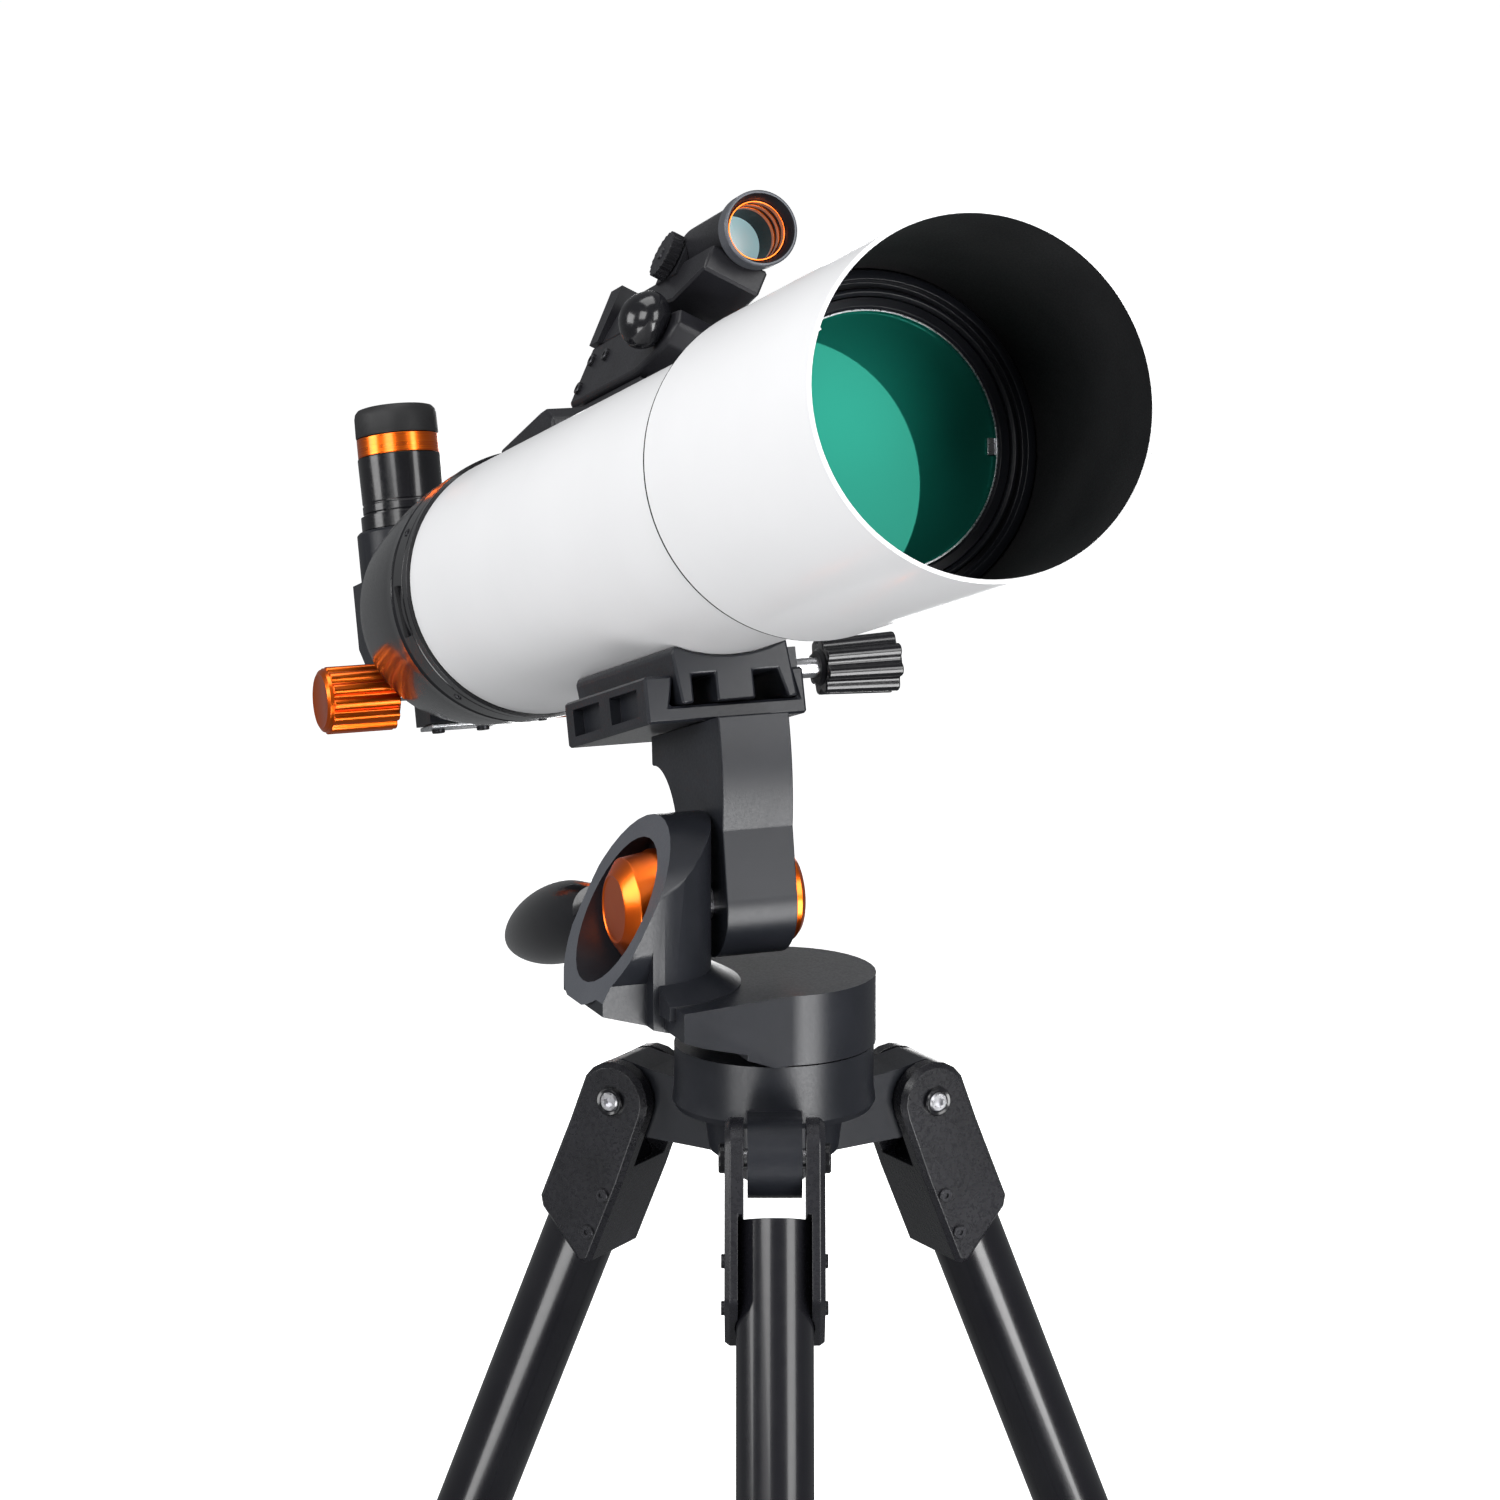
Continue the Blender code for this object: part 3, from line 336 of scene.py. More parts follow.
def turned(name, profile, look, place, body, axis="X", replaced=(), centre=(0, 0, 0), sides=ROUND,
           bevel=0.25, second=None, inside=()):
    """A turned piece from (radius, height) points; segments listed in inside take the second look."""
    bm = bmesh.new()
    rings = []
    shift = Vector(centre) * MM
    for radius, height in profile:
        if radius == 0:
            rings.append([bm.verts.new(TURNS[axis] @ Vector((0, 0, height * MM)) + shift)])
            continue
        ring = []
        for step in range(sides):
            angle = 2 * math.pi * step / sides
            point = Vector((radius * math.cos(angle), radius * math.sin(angle), height)) * MM
            ring.append(bm.verts.new(TURNS[axis] @ point + shift))
        rings.append(ring)
    pairs = list(zip(rings, rings[1:]))
    if profile[0][0] > 0:
        pairs.append((rings[-1], rings[0]))
    for index, (first, after) in enumerate(pairs):
        for step in range(sides):
            turn = (step + 1) % sides
            corners = [first[step % len(first)], first[turn % len(first)]]
            corners += [after[turn % len(after)], after[step % len(after)]]
            corners = list(dict.fromkeys(corners))
            if len(corners) > 2:
                face = bm.faces.new(corners)
                face.material_index = 1 if index in inside else 0
    looks = [look, second] if second else [look]
    return place_piece(name, bm, looks, place, body, replaced, bevel=bevel)


def prism(name, outline, low, high, look, place, body, axis="Z", replaced=(), bevel=0.4,
          narrow=1.0, smooth=30.0):
    """A prism on an outline across the axis; narrow scales its far end."""
    bm = bmesh.new()
    ends = []
    for height, size in ((low, 1.0), (high, narrow)):
        points = [TURNS[axis] @ Vector((u * size, v * size, height)) * MM for u, v in outline]
        ends.append([bm.verts.new(point) for point in points])
    bm.faces.new(ends[0])
    bm.faces.new(ends[1])
    for step in range(len(outline)):
        after = (step + 1) % len(outline)
        bm.faces.new((ends[0][step], ends[0][after], ends[1][after], ends[1][step]))
    return place_piece(name, bm, [look], place, body, replaced, bevel=bevel, segments=3, smooth=smooth)


def refined(node, look, bevel=0.6, smooth=32.0, second=None, chosen=None):
    """The CAD node's shape, flat faces made whole and sharp edges rounded; chosen faces take second."""
    bm = bmesh.new()
    bm.from_mesh(frame["nodes"][node].data)
    bmesh.ops.remove_doubles(bm, verts=bm.verts, dist=1e-5)
    flat = math.radians(0.8)
    bmesh.ops.dissolve_limit(bm, angle_limit=flat, verts=bm.verts, edges=bm.edges)
    for face in bm.faces:
        face.material_index = 1 if chosen and chosen(face) else 0
    looks = [look, second] if second else [look]
    return place_piece(f"fine_{node}", bm, looks, Matrix.Identity(4), BODY_OF[node], (node,),
                       smooth=smooth, bevel=bevel, weighted=True)


def rod(radius, low, high):
    return [(0, low), (radius, low), (radius, high), (0, high)]


def tube_profile(inner, outer, low, high):
    return [(inner, low), (outer, low), (outer, high), (inner, high)]


def fluted(radius, depth, lobes, sharpness=1.0, steps_per_lobe=12):
    """A round outline with broad ridges and narrower grooves."""
    points = []
    count = lobes * steps_per_lobe
    for step in range(count):
        angle = 2 * math.pi * step / count
        wave = (0.5 + 0.5 * math.cos(lobes * angle)) ** sharpness
        reach = radius - depth * wave
        points.append((reach * math.cos(angle), reach * math.sin(angle)))
    return points


def rectangle(u0, u1, v0, v1):
    return [(u0, v0), (u1, v0), (u1, v1), (u0, v1)]


def hex_socket(name, radius, height, socket, centre, place, body, look):
    """A cap screw along +Z: a round head with a six-sided socket in it."""
    bm = bmesh.new()
    shift = Vector(centre) * MM
    sides, corners = 24, 6
    shoulder, chamfer, bottom = height * 0.8, height * 0.2, height * 0.35
    rows = [(radius, 0.0, sides), (radius, shoulder, sides), (radius - chamfer, height, sides)]
    rows += [(socket, height, corners), (socket, bottom, corners)]
    loops = []
    for reach, rise, count in rows:
        loop = []
        for step in range(sides):
            angle = 2 * math.pi * step / sides
            distance = reach
            if count == corners:
                part = math.pi / corners
                distance = reach * math.cos(part) / math.cos((angle % (2 * part)) - part)
            point = Vector((distance * math.cos(angle), distance * math.sin(angle), rise)) * MM
            loop.append(bm.verts.new(point + shift))
        loops.append(loop)
    for first, after in zip(loops, loops[1:]):
        for step in range(sides):
            turn = (step + 1) % sides
            bm.faces.new((first[step], first[turn], after[turn], after[step]))
    bm.faces.new(loops[0])
    bm.faces.new(loops[-1])
    return place_piece(name, bm, [look], place, body)


# ---------------------------------------------------------------- optical tube


def build_white_tubes():
    """The main tube, the wider dew shield in front of it, and a thin black ring, a painted shadow for the gap
    where the two meet.
    """
    rear, front, radius = measure("main_tube", TUBE)
    wall = tube_profile(radius - TUBE_WALL, radius, rear, front)
    turned("fine_main_tube", wall, WHITE, TUBE, "ota", replaced=("main_tube",),
           second=FLOCK, inside=(3,), bevel=0.15)
    low, high, outer = measure("dew_shield", TUBE)
    lip, bore = radius + 0.3, outer - TUBE_WALL
    profile = [(lip, low), (outer - 0.5, low), (outer, low + 0.5), (outer, high - 0.35), (outer - 0.35, high)]
    profile += [(outer - 0.95, high), (bore, high - 0.3), (bore, low + 4), (lip, low + 4)]
    turned("fine_dew_shield", profile, WHITE, TUBE, "ota", replaced=("dew_shield",),
           second=FLOCK, inside=(6, 7, 8), sides=FINE_ROUND, bevel=0.0)
    # Painted shadow: a black ring behind the shield's rear edge stands in for the shade in the gap.
    seam = tube_profile(radius + 0.1, outer - 0.1, low - 0.8, low - 0.05)
    turned("shield_gap_shadow", seam, FLOCK, TUBE, "ota", sides=FINE_ROUND, bevel=0)


def build_objective():
    """The stepped black cell, the front lens with its slight dome, its retaining ring and three spacers."""
    low, high, outer = measure("objective_cell", TUBE)
    back, face, lens = measure("lens_crown", TUBE)
    inner = lens + 0.3
    skirt, throat = outer - 3.2, inner - 3
    profile = [(inner, high - 8), (inner, high - 1.2), (inner + 0.9, high - 0.4), (inner + 1.8, high - 0.6)]
    profile += [(inner + 2.2, high - 2.6), (inner + 4.0, high - 2.6), (inner + 4.4, high)]
    profile += [(outer - 1.8, high), (outer - 0.4, high - 0.8), (outer, high - 2.0), (outer, low)]
    profile += [(skirt, low), (skirt, low + 14.2), (throat, low + 14.2)]
    profile += [(throat, high - 12.6), (inner, high - 12.6)]
    turned("fine_objective_cell", profile, CASTING, TUBE, "ota",
           replaced=("objective_cell",))
    rim_back, rim_face, bulge, rings = back + 1.6, face - 2.4, 0.9, 12
    dome = [(0, rim_back - 1.6), (lens, rim_back), (lens, rim_face)]
    for step in range(rings - 1, -1, -1):
        dome.append((lens * step / rings, rim_face + bulge * (1 - (step / rings) ** 2)))
    turned("fine_lens_crown", dome, LENS_GREEN, TUBE, "ota", replaced=("lens_crown",),
           bevel=0)
    ring_low, ring_high, ring_out = measure("lens_retaining_ring", TUBE)
    ring_in = ring_out - 3.2
    profile = [(ring_in, ring_low), (ring_out, ring_low), (ring_out, ring_high), (ring_in + 0.7, ring_high)]
    profile += [(ring_in, ring_high - 0.7)]
    turned("fine_retaining_ring", profile, CASTING, TUBE, "ota",
           replaced=("lens_retaining_ring",), bevel=0.1)
    lip = tube_profile(ring_in - 0.5, ring_in - 0.02, ring_high - 1.3, ring_high - 0.5)
    turned("retaining_ring_lip", lip, ALLOY, TUBE, "ota", bevel=0.1)
    for index, angle in enumerate((25, 145, 265)):
        turn = TUBE @ Matrix.Rotation(math.radians(angle), 4, "X")
        outline = rectangle(-2.4, 2.4, ring_in - 3.0, ring_in - 0.6)
        prism(f"lens_spacer_{index}", outline, ring_low + 0.2, ring_low + 0.8, ALLOY, turn, "ota",
              axis="X", bevel=0.1)


def build_rear_cell():
    """The gloss cell behind the tube: a spigot, two grooved bands, a long taper and a rounded end."""
    rear = measure("rear_cell", TUBE)[0]
    spigot = measure("main_tube", TUBE)[2] - 1.5
    outer = [(spigot, 8), (spigot, -0.3), (46.3, -0.3), (46.3, -4.6), (45.1, -5.4), (45.1, -6.6)]
    outer += [(45.9, -7.4), (45.9, -17.6), (44.9, -18.8), (44.9, -20.4), (45.7, -21.8)]
    widest, narrowing, start, length, steps = 45.6, 5.4, -22.5, 58, 10
    for step in range(steps + 1):
        share = step / steps
        outer.append((widest - narrowing * share ** 1.6, start - length * share))
    outer += [(38.4, -85.4), (35.2, -89), (31, -91.2), (28.6, rear)]
    inner = [(28.6, -86), (36, -78), (40, -60), (42, -40), (42, 8)]
    turned("fine_rear_cell", outer + inner, GLOSS, TUBE, "ota", replaced=("rear_cell",),
           sides=FINE_ROUND, bevel=0.2)
    # Matte black plates as painted shade for the slots, and small screws in the band next to the tube.
    for index, turn in enumerate((97, 217, 337)):
        place = TUBE @ Matrix.Rotation(math.radians(turn), 4, "X")
        prism(f"cell_slot_shade_{index}", rectangle(-13.5, -10.5, -9, 9), 45.0, 46.1, FLOCK, place, "ota",
              bevel=0.5)
    for index, turn in enumerate((62, 142, 182, 262, 302)):
        place = TUBE @ Matrix.Rotation(math.radians(turn), 4, "X")
        hex_socket(f"cell_screw_{index}", 1.5, 0.7, 0.7, (-12.4, 0, 45.6), place, "ota", SCREW)


def build_focuser():
    """The focuser's body and drawtube, and the two fluted knobs on its pinion shaft."""
    refined("focuser_body", CASTING, bevel=0.4)
    refined("pinion_cover", ALLOY, bevel=0.4)
    cover_low, cover_high = local_box("pinion_cover", TUBE)
    middle = (cover_low.x + cover_high.x) / 2
    below = TUBE @ Matrix.Rotation(math.pi, 4, "X")
    for index, side in enumerate((-8.5, 8.5)):
        hex_socket(f"cover_screw_{index}", 2.4, 1.4, 1.1, (middle, side, -cover_low.z), below, "ota", SCREW)
    refined("drawtube", TUBING, bevel=0.3)
    refined("pinion_shaft", STEEL, bevel=0.2)
    shaft = joint_place("pinion_turn")
    place = axes_at(ALONG, RIGHT, TUBE_UP, shaft)
    for side, node in ((-1, "focus_knob_left"), (1, "focus_knob_right")):
        low, high, radius = measure(node, place, 1)
        near, far = (high, low) if side < 0 else (low, high)
        outline = fluted(radius, 1.7, 12, 2.2)
        prism(f"fine_{node}", outline, near + side * 1.2, far - side * 2.2, ORANGE_Y, place, "pinion",
              axis="Y", replaced=(node,), bevel=0.35, smooth=40)
        neck = [(0, near), (radius - 4.2, near), (radius - 3.6, near + side * 1.3), (0, near + side * 1.3)]
        turned(f"{node}_neck", neck, ORANGE_Y, place, "pinion", axis="Y", bevel=0.1)
        end = [(0, far - side * 2.3), (radius - 0.7, far - side * 2.3), (radius - 1.0, far - side * 0.9)]
        end += [(radius - 2.4, far), (radius - 4.0, far - side * 0.5), (0, far - side * 0.5)]
        turned(f"{node}_face", end, ORANGE_Y, place, "pinion", axis="Y", bevel=0.15)


def build_eyepiece():
    """The diagonal, and the eyepiece's stepped barrel, orange band, rubber cup and lens."""
    refined("diagonal_body", CASTING, bevel=0.7)
    centre = joint_place("diagonal_turn") - ALONG * (EYEPIECE_BACK * MM)
    place = axes_at(ALONG, RIGHT, TUBE_UP, centre)
    low, high, radius = measure("eyepiece_barrel", place, 2)
    bore = 12.8
    barrel = [(11.8, low), (15.87, low), (15.87, 39.4), (16.6, 39.4), (16.9, 40), (16.9, 44), (16.4, 44.8)]
    barrel += [(15.0, 44.8), (15.0, 45.6), (15.4, 45.9), (15.4, 48.6), (15.05, 48.9), (15.05, 49.3)]
    barrel += [(15.35, 49.6), (15.6, high), (bore, high), (bore, 60), (11.8, 60)]
    keep = [(min(reach, radius), height) for reach, height in barrel]
    turned("fine_eyepiece_barrel", keep, GLOSS, place, "eyepiece", axis="Z",
           replaced=("eyepiece_barrel",), bevel=0.12)
    low, high, radius = measure("eyepiece_band", place, 2)
    band = [(bore, low), (radius, low), (radius, low + 0.4), (radius, high - 0.4), (radius, high)]
    band += [(bore, high)]
    turned("fine_eyepiece_band", band, ORANGE_Z, place, "eyepiece", axis="Z",
           replaced=("eyepiece_band",), bevel=0.2)
    low, high, radius = measure("eyecup", place, 2)
    cup = [(bore, low), (radius - 0.2, low), (radius, low + 0.6), (radius - 0.1, high - 3.4)]
    cup += [(radius - 0.5, high - 1.6), (radius - 1.5, high - 0.4), (radius - 2.9, high)]
    cup += [(radius - 4.0, high - 0.6), (10.8, high - 5), (bore, high - 7)]
    turned("fine_eyecup", cup, RUBBER, place, "eyepiece", axis="Z", replaced=("eyecup",),
           bevel=0.1)
    refined("eye_lens", EYE_GLASS, bevel=0, smooth=40)
    turned("eyepiece_set_screw", rod(2.6, radius + 2.6, radius + 8.6), SCREW, place, "diagonal",
           axis="X", centre=(0, 0, 31), bevel=0.4, sides=24)


def axis_frame(node):
    """The finder frame moved onto the axis of its tube."""
    low, high = local_box(node, FINDER)
    middle = (low + high) / 2
    return FINDER @ Matrix.Translation(Vector((0, middle.y, middle.z)) * MM)


def build_finder():
    """The finder's shoe, base and body, its short tube with orange stops inside, and its pale lens."""
    for node, bevel in (("finder_shoe", 0.7), ("finder_base", 0.7), ("finder_body", 0.9)):
        refined(node, PLASTIC, bevel=bevel)
    place = axis_frame("finder_tube")
    low, high, radius = measure("finder_tube", place)
    wall = [(10, low), (10.9, low), (11.4, low + 0.6), (11.4, high - 8.5), (11.9, high - 7.6)]
    wall += [(radius, high - 6.6), (radius, high - 0.6), (radius - 0.5, high), (radius - 1.1, high)]
    wall += [(radius - 1.6, high - 1.2), (10.6, high - 3.6), (10, high - 5)]
    turned("fine_finder_tube", wall, FACE_GREY_AND_SHEEN, place, "ota", replaced=("finder_tube",),
           second=PLASTIC, inside=(0, 1, 2, 3, 8, 9, 10, 11), bevel=0.15)
    for index, depth in enumerate((4.5, 9.0, 13.5)):
        stop = tube_profile(9.5, 9.98, high - depth - 2.2, high - depth)
        turned(f"finder_stop_{index}", stop, ORANGE_X, place, "ota", bevel=0.1)
    lens_low, lens_high, lens_radius = measure("finder_lens", place)
    bulge, rings = 0.8, 6
    dome = [(0, lens_low), (lens_radius, lens_low + 0.3), (lens_radius, lens_high - bulge)]
    for step in range(rings - 1, -1, -1):
        dome.append((lens_radius * step / rings, lens_high - bulge * (step / rings) ** 2))
    # The finder lens's pale colour is a painted reflection, and its glow is painted light.
    turned("fine_finder_lens", dome, PALE_GLASS_PAINTED_GLOW, place, "ota", replaced=("finder_lens",),
           bevel=0)
    build_finder_controls()


def control_frame(node):
    """The finder frame moved to the middle of a wheel or knob, with the node's box."""
    low, high = local_box(node, FINDER)
    middle = (low + high) / 2
    return FINDER @ Matrix.Translation(Vector((middle.x, 0, middle.z)) * MM), low, high


def build_finder_controls():
    """The fluted wheel with its cap, the rounded knob, and three screws in the base."""
    place, low, high = control_frame("finder_wheel")
    outline = fluted((high.x - low.x) / 2, 0.7, 20, 1.0, 8)
    prism("fine_finder_wheel", outline, low.y + 0.6, high.y, PLASTIC, place, "finder_wheel",
          axis="Y", replaced=("finder_wheel",), bevel=0.3, smooth=40)
    cap = [(0, low.y), (2.2, low.y), (2.4, low.y + 0.8), (0, low.y + 0.8)]
    turned("finder_wheel_cap", cap, SCREW, place, "finder_wheel", axis="Y", bevel=0.1, sides=32)
    place, low, high = control_frame("finder_knob")
    radius = (high.x - low.x) / 2
    profile = [(0, high.y), (radius * 0.66, high.y)]
    neck, steps = 1.2, 14
    for step in range(steps + 1):
        share = step / steps
        reach = radius * math.sin(math.pi * (0.22 + 0.78 * share)) ** 0.55 if share < 1 else 0
        profile.append((reach, high.y - neck + (low.y - high.y + neck) * share))
    turned("fine_finder_knob", profile, GLOSS, place, "finder_knob", axis="Y",
           replaced=("finder_knob",), bevel=0)
    low, high = local_box("finder_base", FINDER)
    spots = ((low.x + 8, high.z - 7), (low.x + 24, high.z - 8), (low.x + 6, low.z + 6))
    for index, (across, rise) in enumerate(spots):
        spot = Matrix.Translation(Vector((across, low.y, rise)) * MM)
        turn = FINDER @ spot @ Matrix.Rotation(math.pi / 2, 4, "X")
        hex_socket(f"finder_screw_{index}", 2.3, 1.2, 1.0, (0, 0, 0), turn, "ota", SCREW)


def build_under_tube():
    """The foot, saddle and rail that hold the tube, and the clamp knob that locks them."""
    refined("tube_foot", CASTING, bevel=0.8)
    refined("saddle", CASTING, bevel=0.8)
    refined("top_rail", PLASTIC, bevel=0.9)
    axis = joint_place("clamp_knob_turn")
    place = axes_at(ALONG, RIGHT, TUBE_UP, axis)
    low, high, radius = measure("clamp_knob", place, 1)
    prism("fine_clamp_knob", fluted(radius, 2.0, 8, 1.6), high - 1.5, low + 1.0, GLOSS, place, "clamp",
          axis="Y", replaced=("clamp_knob",), bevel=0.5, narrow=0.90, smooth=40)
    end = [(0, high - 1.6), (radius - 3.6, high - 1.6), (radius - 4.4, high - 0.3), (0, high)]
    turned("clamp_knob_end", end, PLASTIC, place, "clamp", axis="Y", bevel=0.3)
    neck = [(0, low), (5.2, low), (6.2, low + 1.2), (0, low + 1.2)]
    turned("clamp_knob_neck", neck, PLASTIC, place, "clamp", axis="Y", bevel=0.2)
    refined("clamp_bolt", STEEL, bevel=0.3)


# ---------------------------------------------------------------- head


def hub_face_sheen(face):
    """True for the ring round the recess, which leans back from the altitude axis; picked by how they face, these
    faces take the lighter grey as a painted highlight.
    """
    least, most = 0.8, 0.95
    sideways = -RIGHT.dot(face.normal)
    return least < sideways < most


def build_arm():
    """The arm, from its side outline: a round hub, a bent front, and a back cut away in a curve."""
    low, high = local_box("altitude_arm", ALTITUDE)
    hub, hub_steps, curve_steps = 17.4, 48, 12
    outline = []
    for step in range(hub_steps + 1):
        angle = math.radians(-188 + 190 * step / hub_steps)
        outline.append((hub * math.cos(angle), hub * math.sin(angle)))
    for step in range(curve_steps + 1):
        share = step / curve_steps
        bend = 2 * share * (1 - share)
        outline.append((19.4 * (1 - share) ** 2 + 25.4 * bend + 25.5 * share ** 2,
                        20 * (1 - share) ** 2 + 36 * bend + high.z * share ** 2))
    outline += [(-36, high.z), (-38, 45.5)]
    for step in range(curve_steps + 1):
        angle = math.radians(88 - 84 * step / curve_steps)
        outline.append((-38 + 17.2 * math.sin(math.pi / 2 - angle), 24.5 + 20.5 * math.sin(angle)))
    prism("fine_altitude_arm", outline, low.y, high.y, CASTING, ALTITUDE, "altitude",
          axis="side", replaced=("altitude_arm",), bevel=1.0, smooth=6)


def build_head():
    """The head's body, the arm, the two orange altitude caps and the pan handle's grip."""
    # The hub's face ring takes the lighter grey as a painted highlight.
    refined("azimuth_body", CASTING, bevel=0.8, second=FACE_GREY_AND_SHEEN, chosen=hub_face_sheen)
    build_arm()
    bore = 6.3
    low, high, radius = measure("altitude_cap_left", HUB, 1)
    cap = [(bore, high), (radius, high), (radius, high - 3.6), (radius - 0.8, high - 5.2)]
    cap += [(radius - 2.0, low + 3.6), (radius - 6.2, low + 0.5), (radius - 7.2, low)]
    cap += [(radius - 7.8, low + 0.4), (0, low + 0.4), (0, low + 6.6), (bore, low + 6.6)]
    turned("fine_altitude_cap_left", cap, ORANGE_Y, HUB, "azimuth", axis="Y",
           replaced=("altitude_cap_left",), bevel=0.2)
    low, high, radius = measure("altitude_cap_right", HUB, 1)
    cap = [(bore, low), (radius, low), (radius, high - 1.6), (radius - 1.6, high), (radius - 4.6, high)]
    cap += [(radius - 5.2, high - 0.5), (0, high - 0.5), (0, low + 2), (bore, low + 2)]
    turned("fine_altitude_cap_right", cap, ORANGE_Y, HUB, "azimuth", axis="Y",
           replaced=("altitude_cap_right",), bevel=0.2)
    low, high, radius = measure("handle_grip", HANDLE, 2)
    steps = 28
    grip = [(0, low + 4), (4.3, low + 4), (4.3, low), (7.0, low)]
    for step in range(steps + 1):
        share = step / steps
        swell = math.sin(math.pi * (0.10 + 0.90 * share) ** 0.85) ** 0.6 if share < 1 else 0.0
        grip.append((radius * min(1.0, swell), low + (high - low) * share))
    turned("fine_handle_grip", grip, GLOSS, HANDLE, "handle", axis="Z",
           replaced=("handle_grip",), bevel=0)


# ---------------------------------------------------------------- tripod


def build_tripod():
    refined("tripod_head", CASTING, bevel=0.7)
    for number, place in LEGS.items():
        refined(f"leg_bracket_{number}", MOULDING, bevel=0.9)
        build_leg_tubes(number, place)
        build_bracket_screws(number, place)
        build_hinge_bolt(number, place)
        refined(f"foot_{number}", RUBBER, bevel=0.8)


def build_hinge_bolt(number, place):
    """The hinge bolt with a hex socket in each flush end."""
    name = f"hinge_bolt_{number}"
    low, high, radius = measure(name, place, 1)
    head, inner = 2.2, 3.2
    turned(f"fine_{name}", rod(2.9, low + head, high - head), STEEL, place, "tripod", axis="Y",
           replaced=(name,), sides=32, bevel=0.1)
    for side, end in ((-1, high), (1, -low)):
        turn = place @ Matrix.Rotation(side * math.pi / 2, 4, "X")
        hex_socket(f"hinge_head_{number}_{side + 1}", 3.1, head, 1.6, (0, 0, end - head), turn, "tripod",
                   STEEL)
        washer = [(inner, end - head), (radius, end - head), (radius, end - 0.5), (radius - 0.5, end)]
        washer += [(inner, end - 0.3)]
        turned(f"hinge_washer_{number}_{side + 1}", washer, GLOSS, turn, "tripod", axis="Z",
               sides=48, bevel=0.1)


def build_leg_tubes(number, place):
    """One leg's closed upper tube, its open lower tube, and the ribbed collar that grips it."""
    name = f"leg_tube_upper_{number}"
    low, high, radius = measure(name, place, 2)
    inner, cap = radius - 1.3, high - 3
    profile = [(0, cap), (inner, cap), (inner, low), (radius, low), (radius, high), (0, high)]
    turned(f"fine_{name}", profile, TUBING, place, f"leg_{number}", axis="Z", replaced=(name,))
    name = f"leg_tube_lower_{number}"
    low, high, radius = measure(name, place, 2)
    turned(f"fine_{name}", tube_profile(radius - TUBE_WALL, radius, low, high), ALLOY, place,
           f"leg_lower_{number}", axis="Z", replaced=(name,))
    name = f"leg_collar_{number}"
    low, high, radius = measure(name, place, 2)
    bore, throat, ribs = 11.9, 10.3, 7
    grip = [(bore, high), (radius - 1.6, high), (radius - 0.8, high - 3)]
    groove = radius - 0.9
    for rib in range(ribs):
        start = high - 5 - rib * (high - low - 10) / ribs
        grip += [(radius, start), (radius, start - 2.2), (groove, start - 2.8), (groove, start - 3.4)]
    grip += [(radius, low + 3), (radius - 0.8, low), (throat, low), (throat, low + 9.6), (bore, low + 9.6)]
    turned(f"fine_{name}", grip, PLASTIC, place, f"collar_{number}", axis="Z",
           replaced=(name,), bevel=0.2)


def build_bracket_screws(number, place):
    """Two small screws on each side of the bracket's inner corner, which pinch it on the leg tube."""
    low, high = local_box(f"leg_bracket_{number}", place)
    for side in (-1, 1):
        turn = place @ Matrix.Rotation(-side * math.pi / 2, 4, "X")
        for row, drop in enumerate((-30.0, -44.0)):
            centre = (low.x + 4.2, -side * drop, high.y)
            hex_socket(f"bracket_screw_{number}_{row}_{side + 1}", 2.2, 1.1, 1.0, centre, turn,
                       f"leg_{number}", SCREW)


# ---------------------------------------------------------------- stage


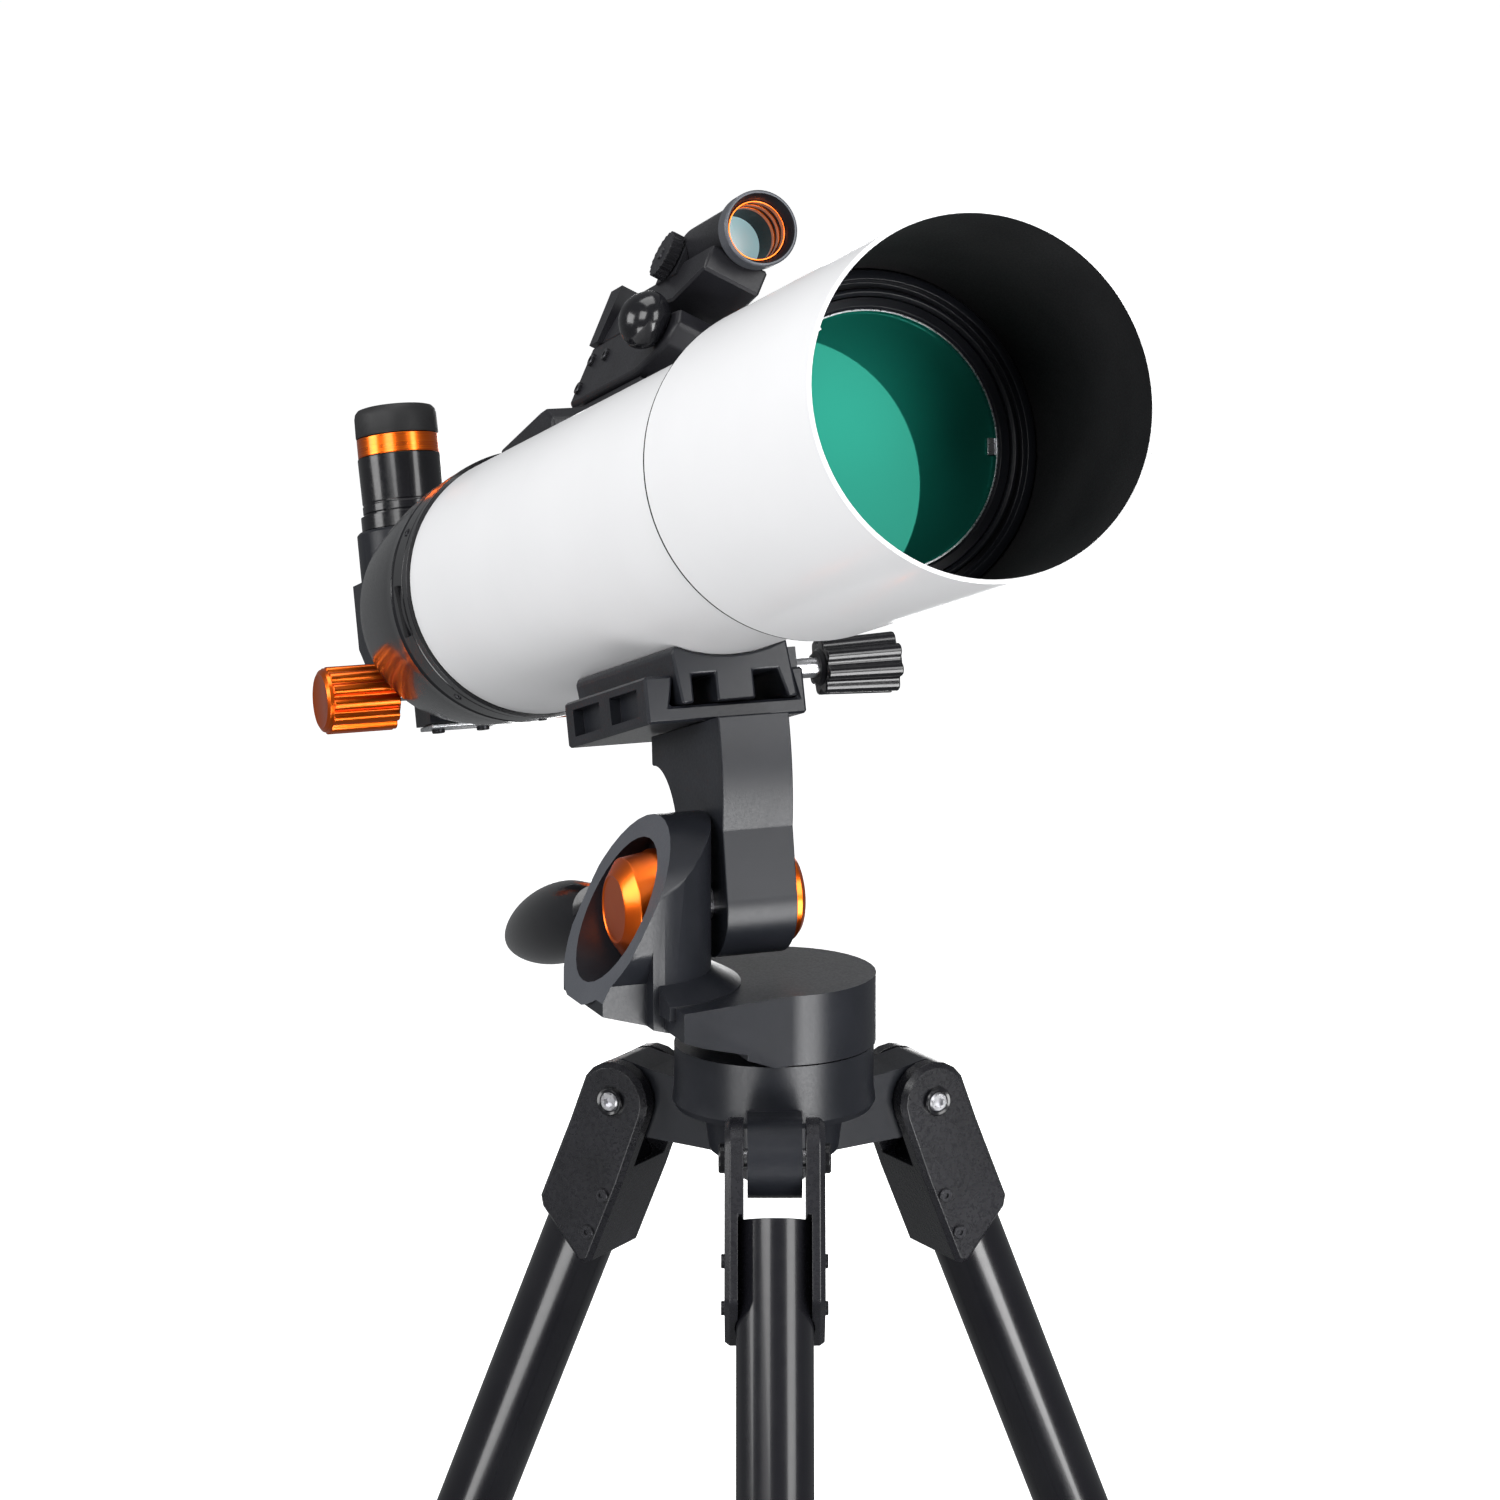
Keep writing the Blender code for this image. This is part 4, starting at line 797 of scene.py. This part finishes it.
def build_stage():
    """A pale floor that glows more with distance, hidden from reflections, under a dim pale world."""
    size = FLOOR_HALF
    mesh = bpy.data.meshes.new("floor")
    corners = [(-size, -size, 0), (size, -size, 0), (size, size, 0), (-size, size, 0)]
    mesh.from_pydata(corners, [], [(0, 1, 2, 3)])
    floor = bpy.data.objects.new("floor", mesh)
    bpy.context.scene.collection.objects.link(floor)
    look = bpy.data.materials.new("pale_floor")
    look.use_nodes = True
    shader = look.node_tree.nodes["Principled BSDF"]
    shader.inputs["Base Color"].default_value = (0.9, 0.9, 0.9, 1)
    shader.inputs["Roughness"].default_value = 0.9
    shader.inputs["Emission Color"].default_value = (1, 1, 1, 1)
    place = look.node_tree.nodes.new("ShaderNodeTexCoord").outputs["Object"]
    distance = look.node_tree.nodes.new("ShaderNodeVectorMath")
    distance.operation = "LENGTH"
    look.node_tree.links.new(place, distance.inputs[0])
    glow = link_range(look.node_tree, distance.outputs["Value"], *FLOOR_GLOW, *FLOOR_GLOW_FROM)
    look.node_tree.links.new(glow, shader.inputs["Emission Strength"])
    mesh.materials.append(look)
    floor.visible_glossy = False
    floor.visible_diffuse = False
    world = bpy.data.worlds.new("studio")
    bpy.context.scene.world = world
    world.use_nodes = True
    world.node_tree.nodes["Background"].inputs["Color"].default_value = (0.96, 0.98, 1.0, 1)
    world.node_tree.nodes["Background"].inputs["Strength"].default_value = WORLD_STRENGTH


def soft_light(name, place, aim, size, power, height=None):
    data = bpy.data.lights.new(name, "AREA")
    data.shape = "RECTANGLE"
    data.size = size
    data.size_y = height or size
    data.energy = power
    made = bpy.data.objects.new(name, data)
    bpy.context.scene.collection.objects.link(made)
    made.location = place
    made.rotation_euler = (Vector(aim) - Vector(place)).to_track_quat("-Z", "Y").to_euler()
    return made


def build_lights():
    centre = TUBE @ (Vector((180, 0, 0)) * MM)
    lens = TUBE @ (Vector((measure("lens_crown", TUBE)[1], 0, 0)) * MM)
    for name, offset, size, power in SOFT_LIGHTS:
        soft_light(name, centre + Vector(offset), centre, size, power)
    # The window stands where a line of sight from the front goes after the lens.
    sight = (lens - CAMERA_PLACE).normalized()
    mirrored = sight - 2 * sight.dot(ALONG) * ALONG
    window = lens + mirrored * WINDOW_DISTANCE + RIGHT * WINDOW_SHIFT
    soft_light("lens_window", window, lens, WINDOW_WIDTH, WINDOW_POWER, WINDOW_HEIGHT)


# ---------------------------------------------------------------- camera


def build_camera():
    data = bpy.data.cameras.new("camera")
    data.lens = LENS_MM
    data.sensor_width = SENSOR_MM
    data.sensor_fit = "HORIZONTAL"
    data.clip_end = 200.0
    made = bpy.data.objects.new("camera", data)
    made.location = CAMERA_PLACE
    made.rotation_euler = (math.pi / 2 - CAMERA_PITCH, 0, 0)
    bpy.context.scene.collection.objects.link(made)
    bpy.context.scene.camera = made


# ---------------------------------------------------------------- build

# Nodes that no finer piece replaces show their own CAD mesh in one of two looks.
for node, made in frame["nodes"].items():
    made.data.materials.clear()
    made.data.materials.append(STEEL if any(word in node for word in STEEL_WORDS) else CASTING)
    made.data.shade_smooth()

build_white_tubes()
build_objective()
build_rear_cell()
build_focuser()
build_eyepiece()
build_finder()
build_under_tube()
build_head()
build_tripod()
build_stage()
build_lights()
build_camera()
bpy.context.scene.view_settings.view_transform = "Standard"
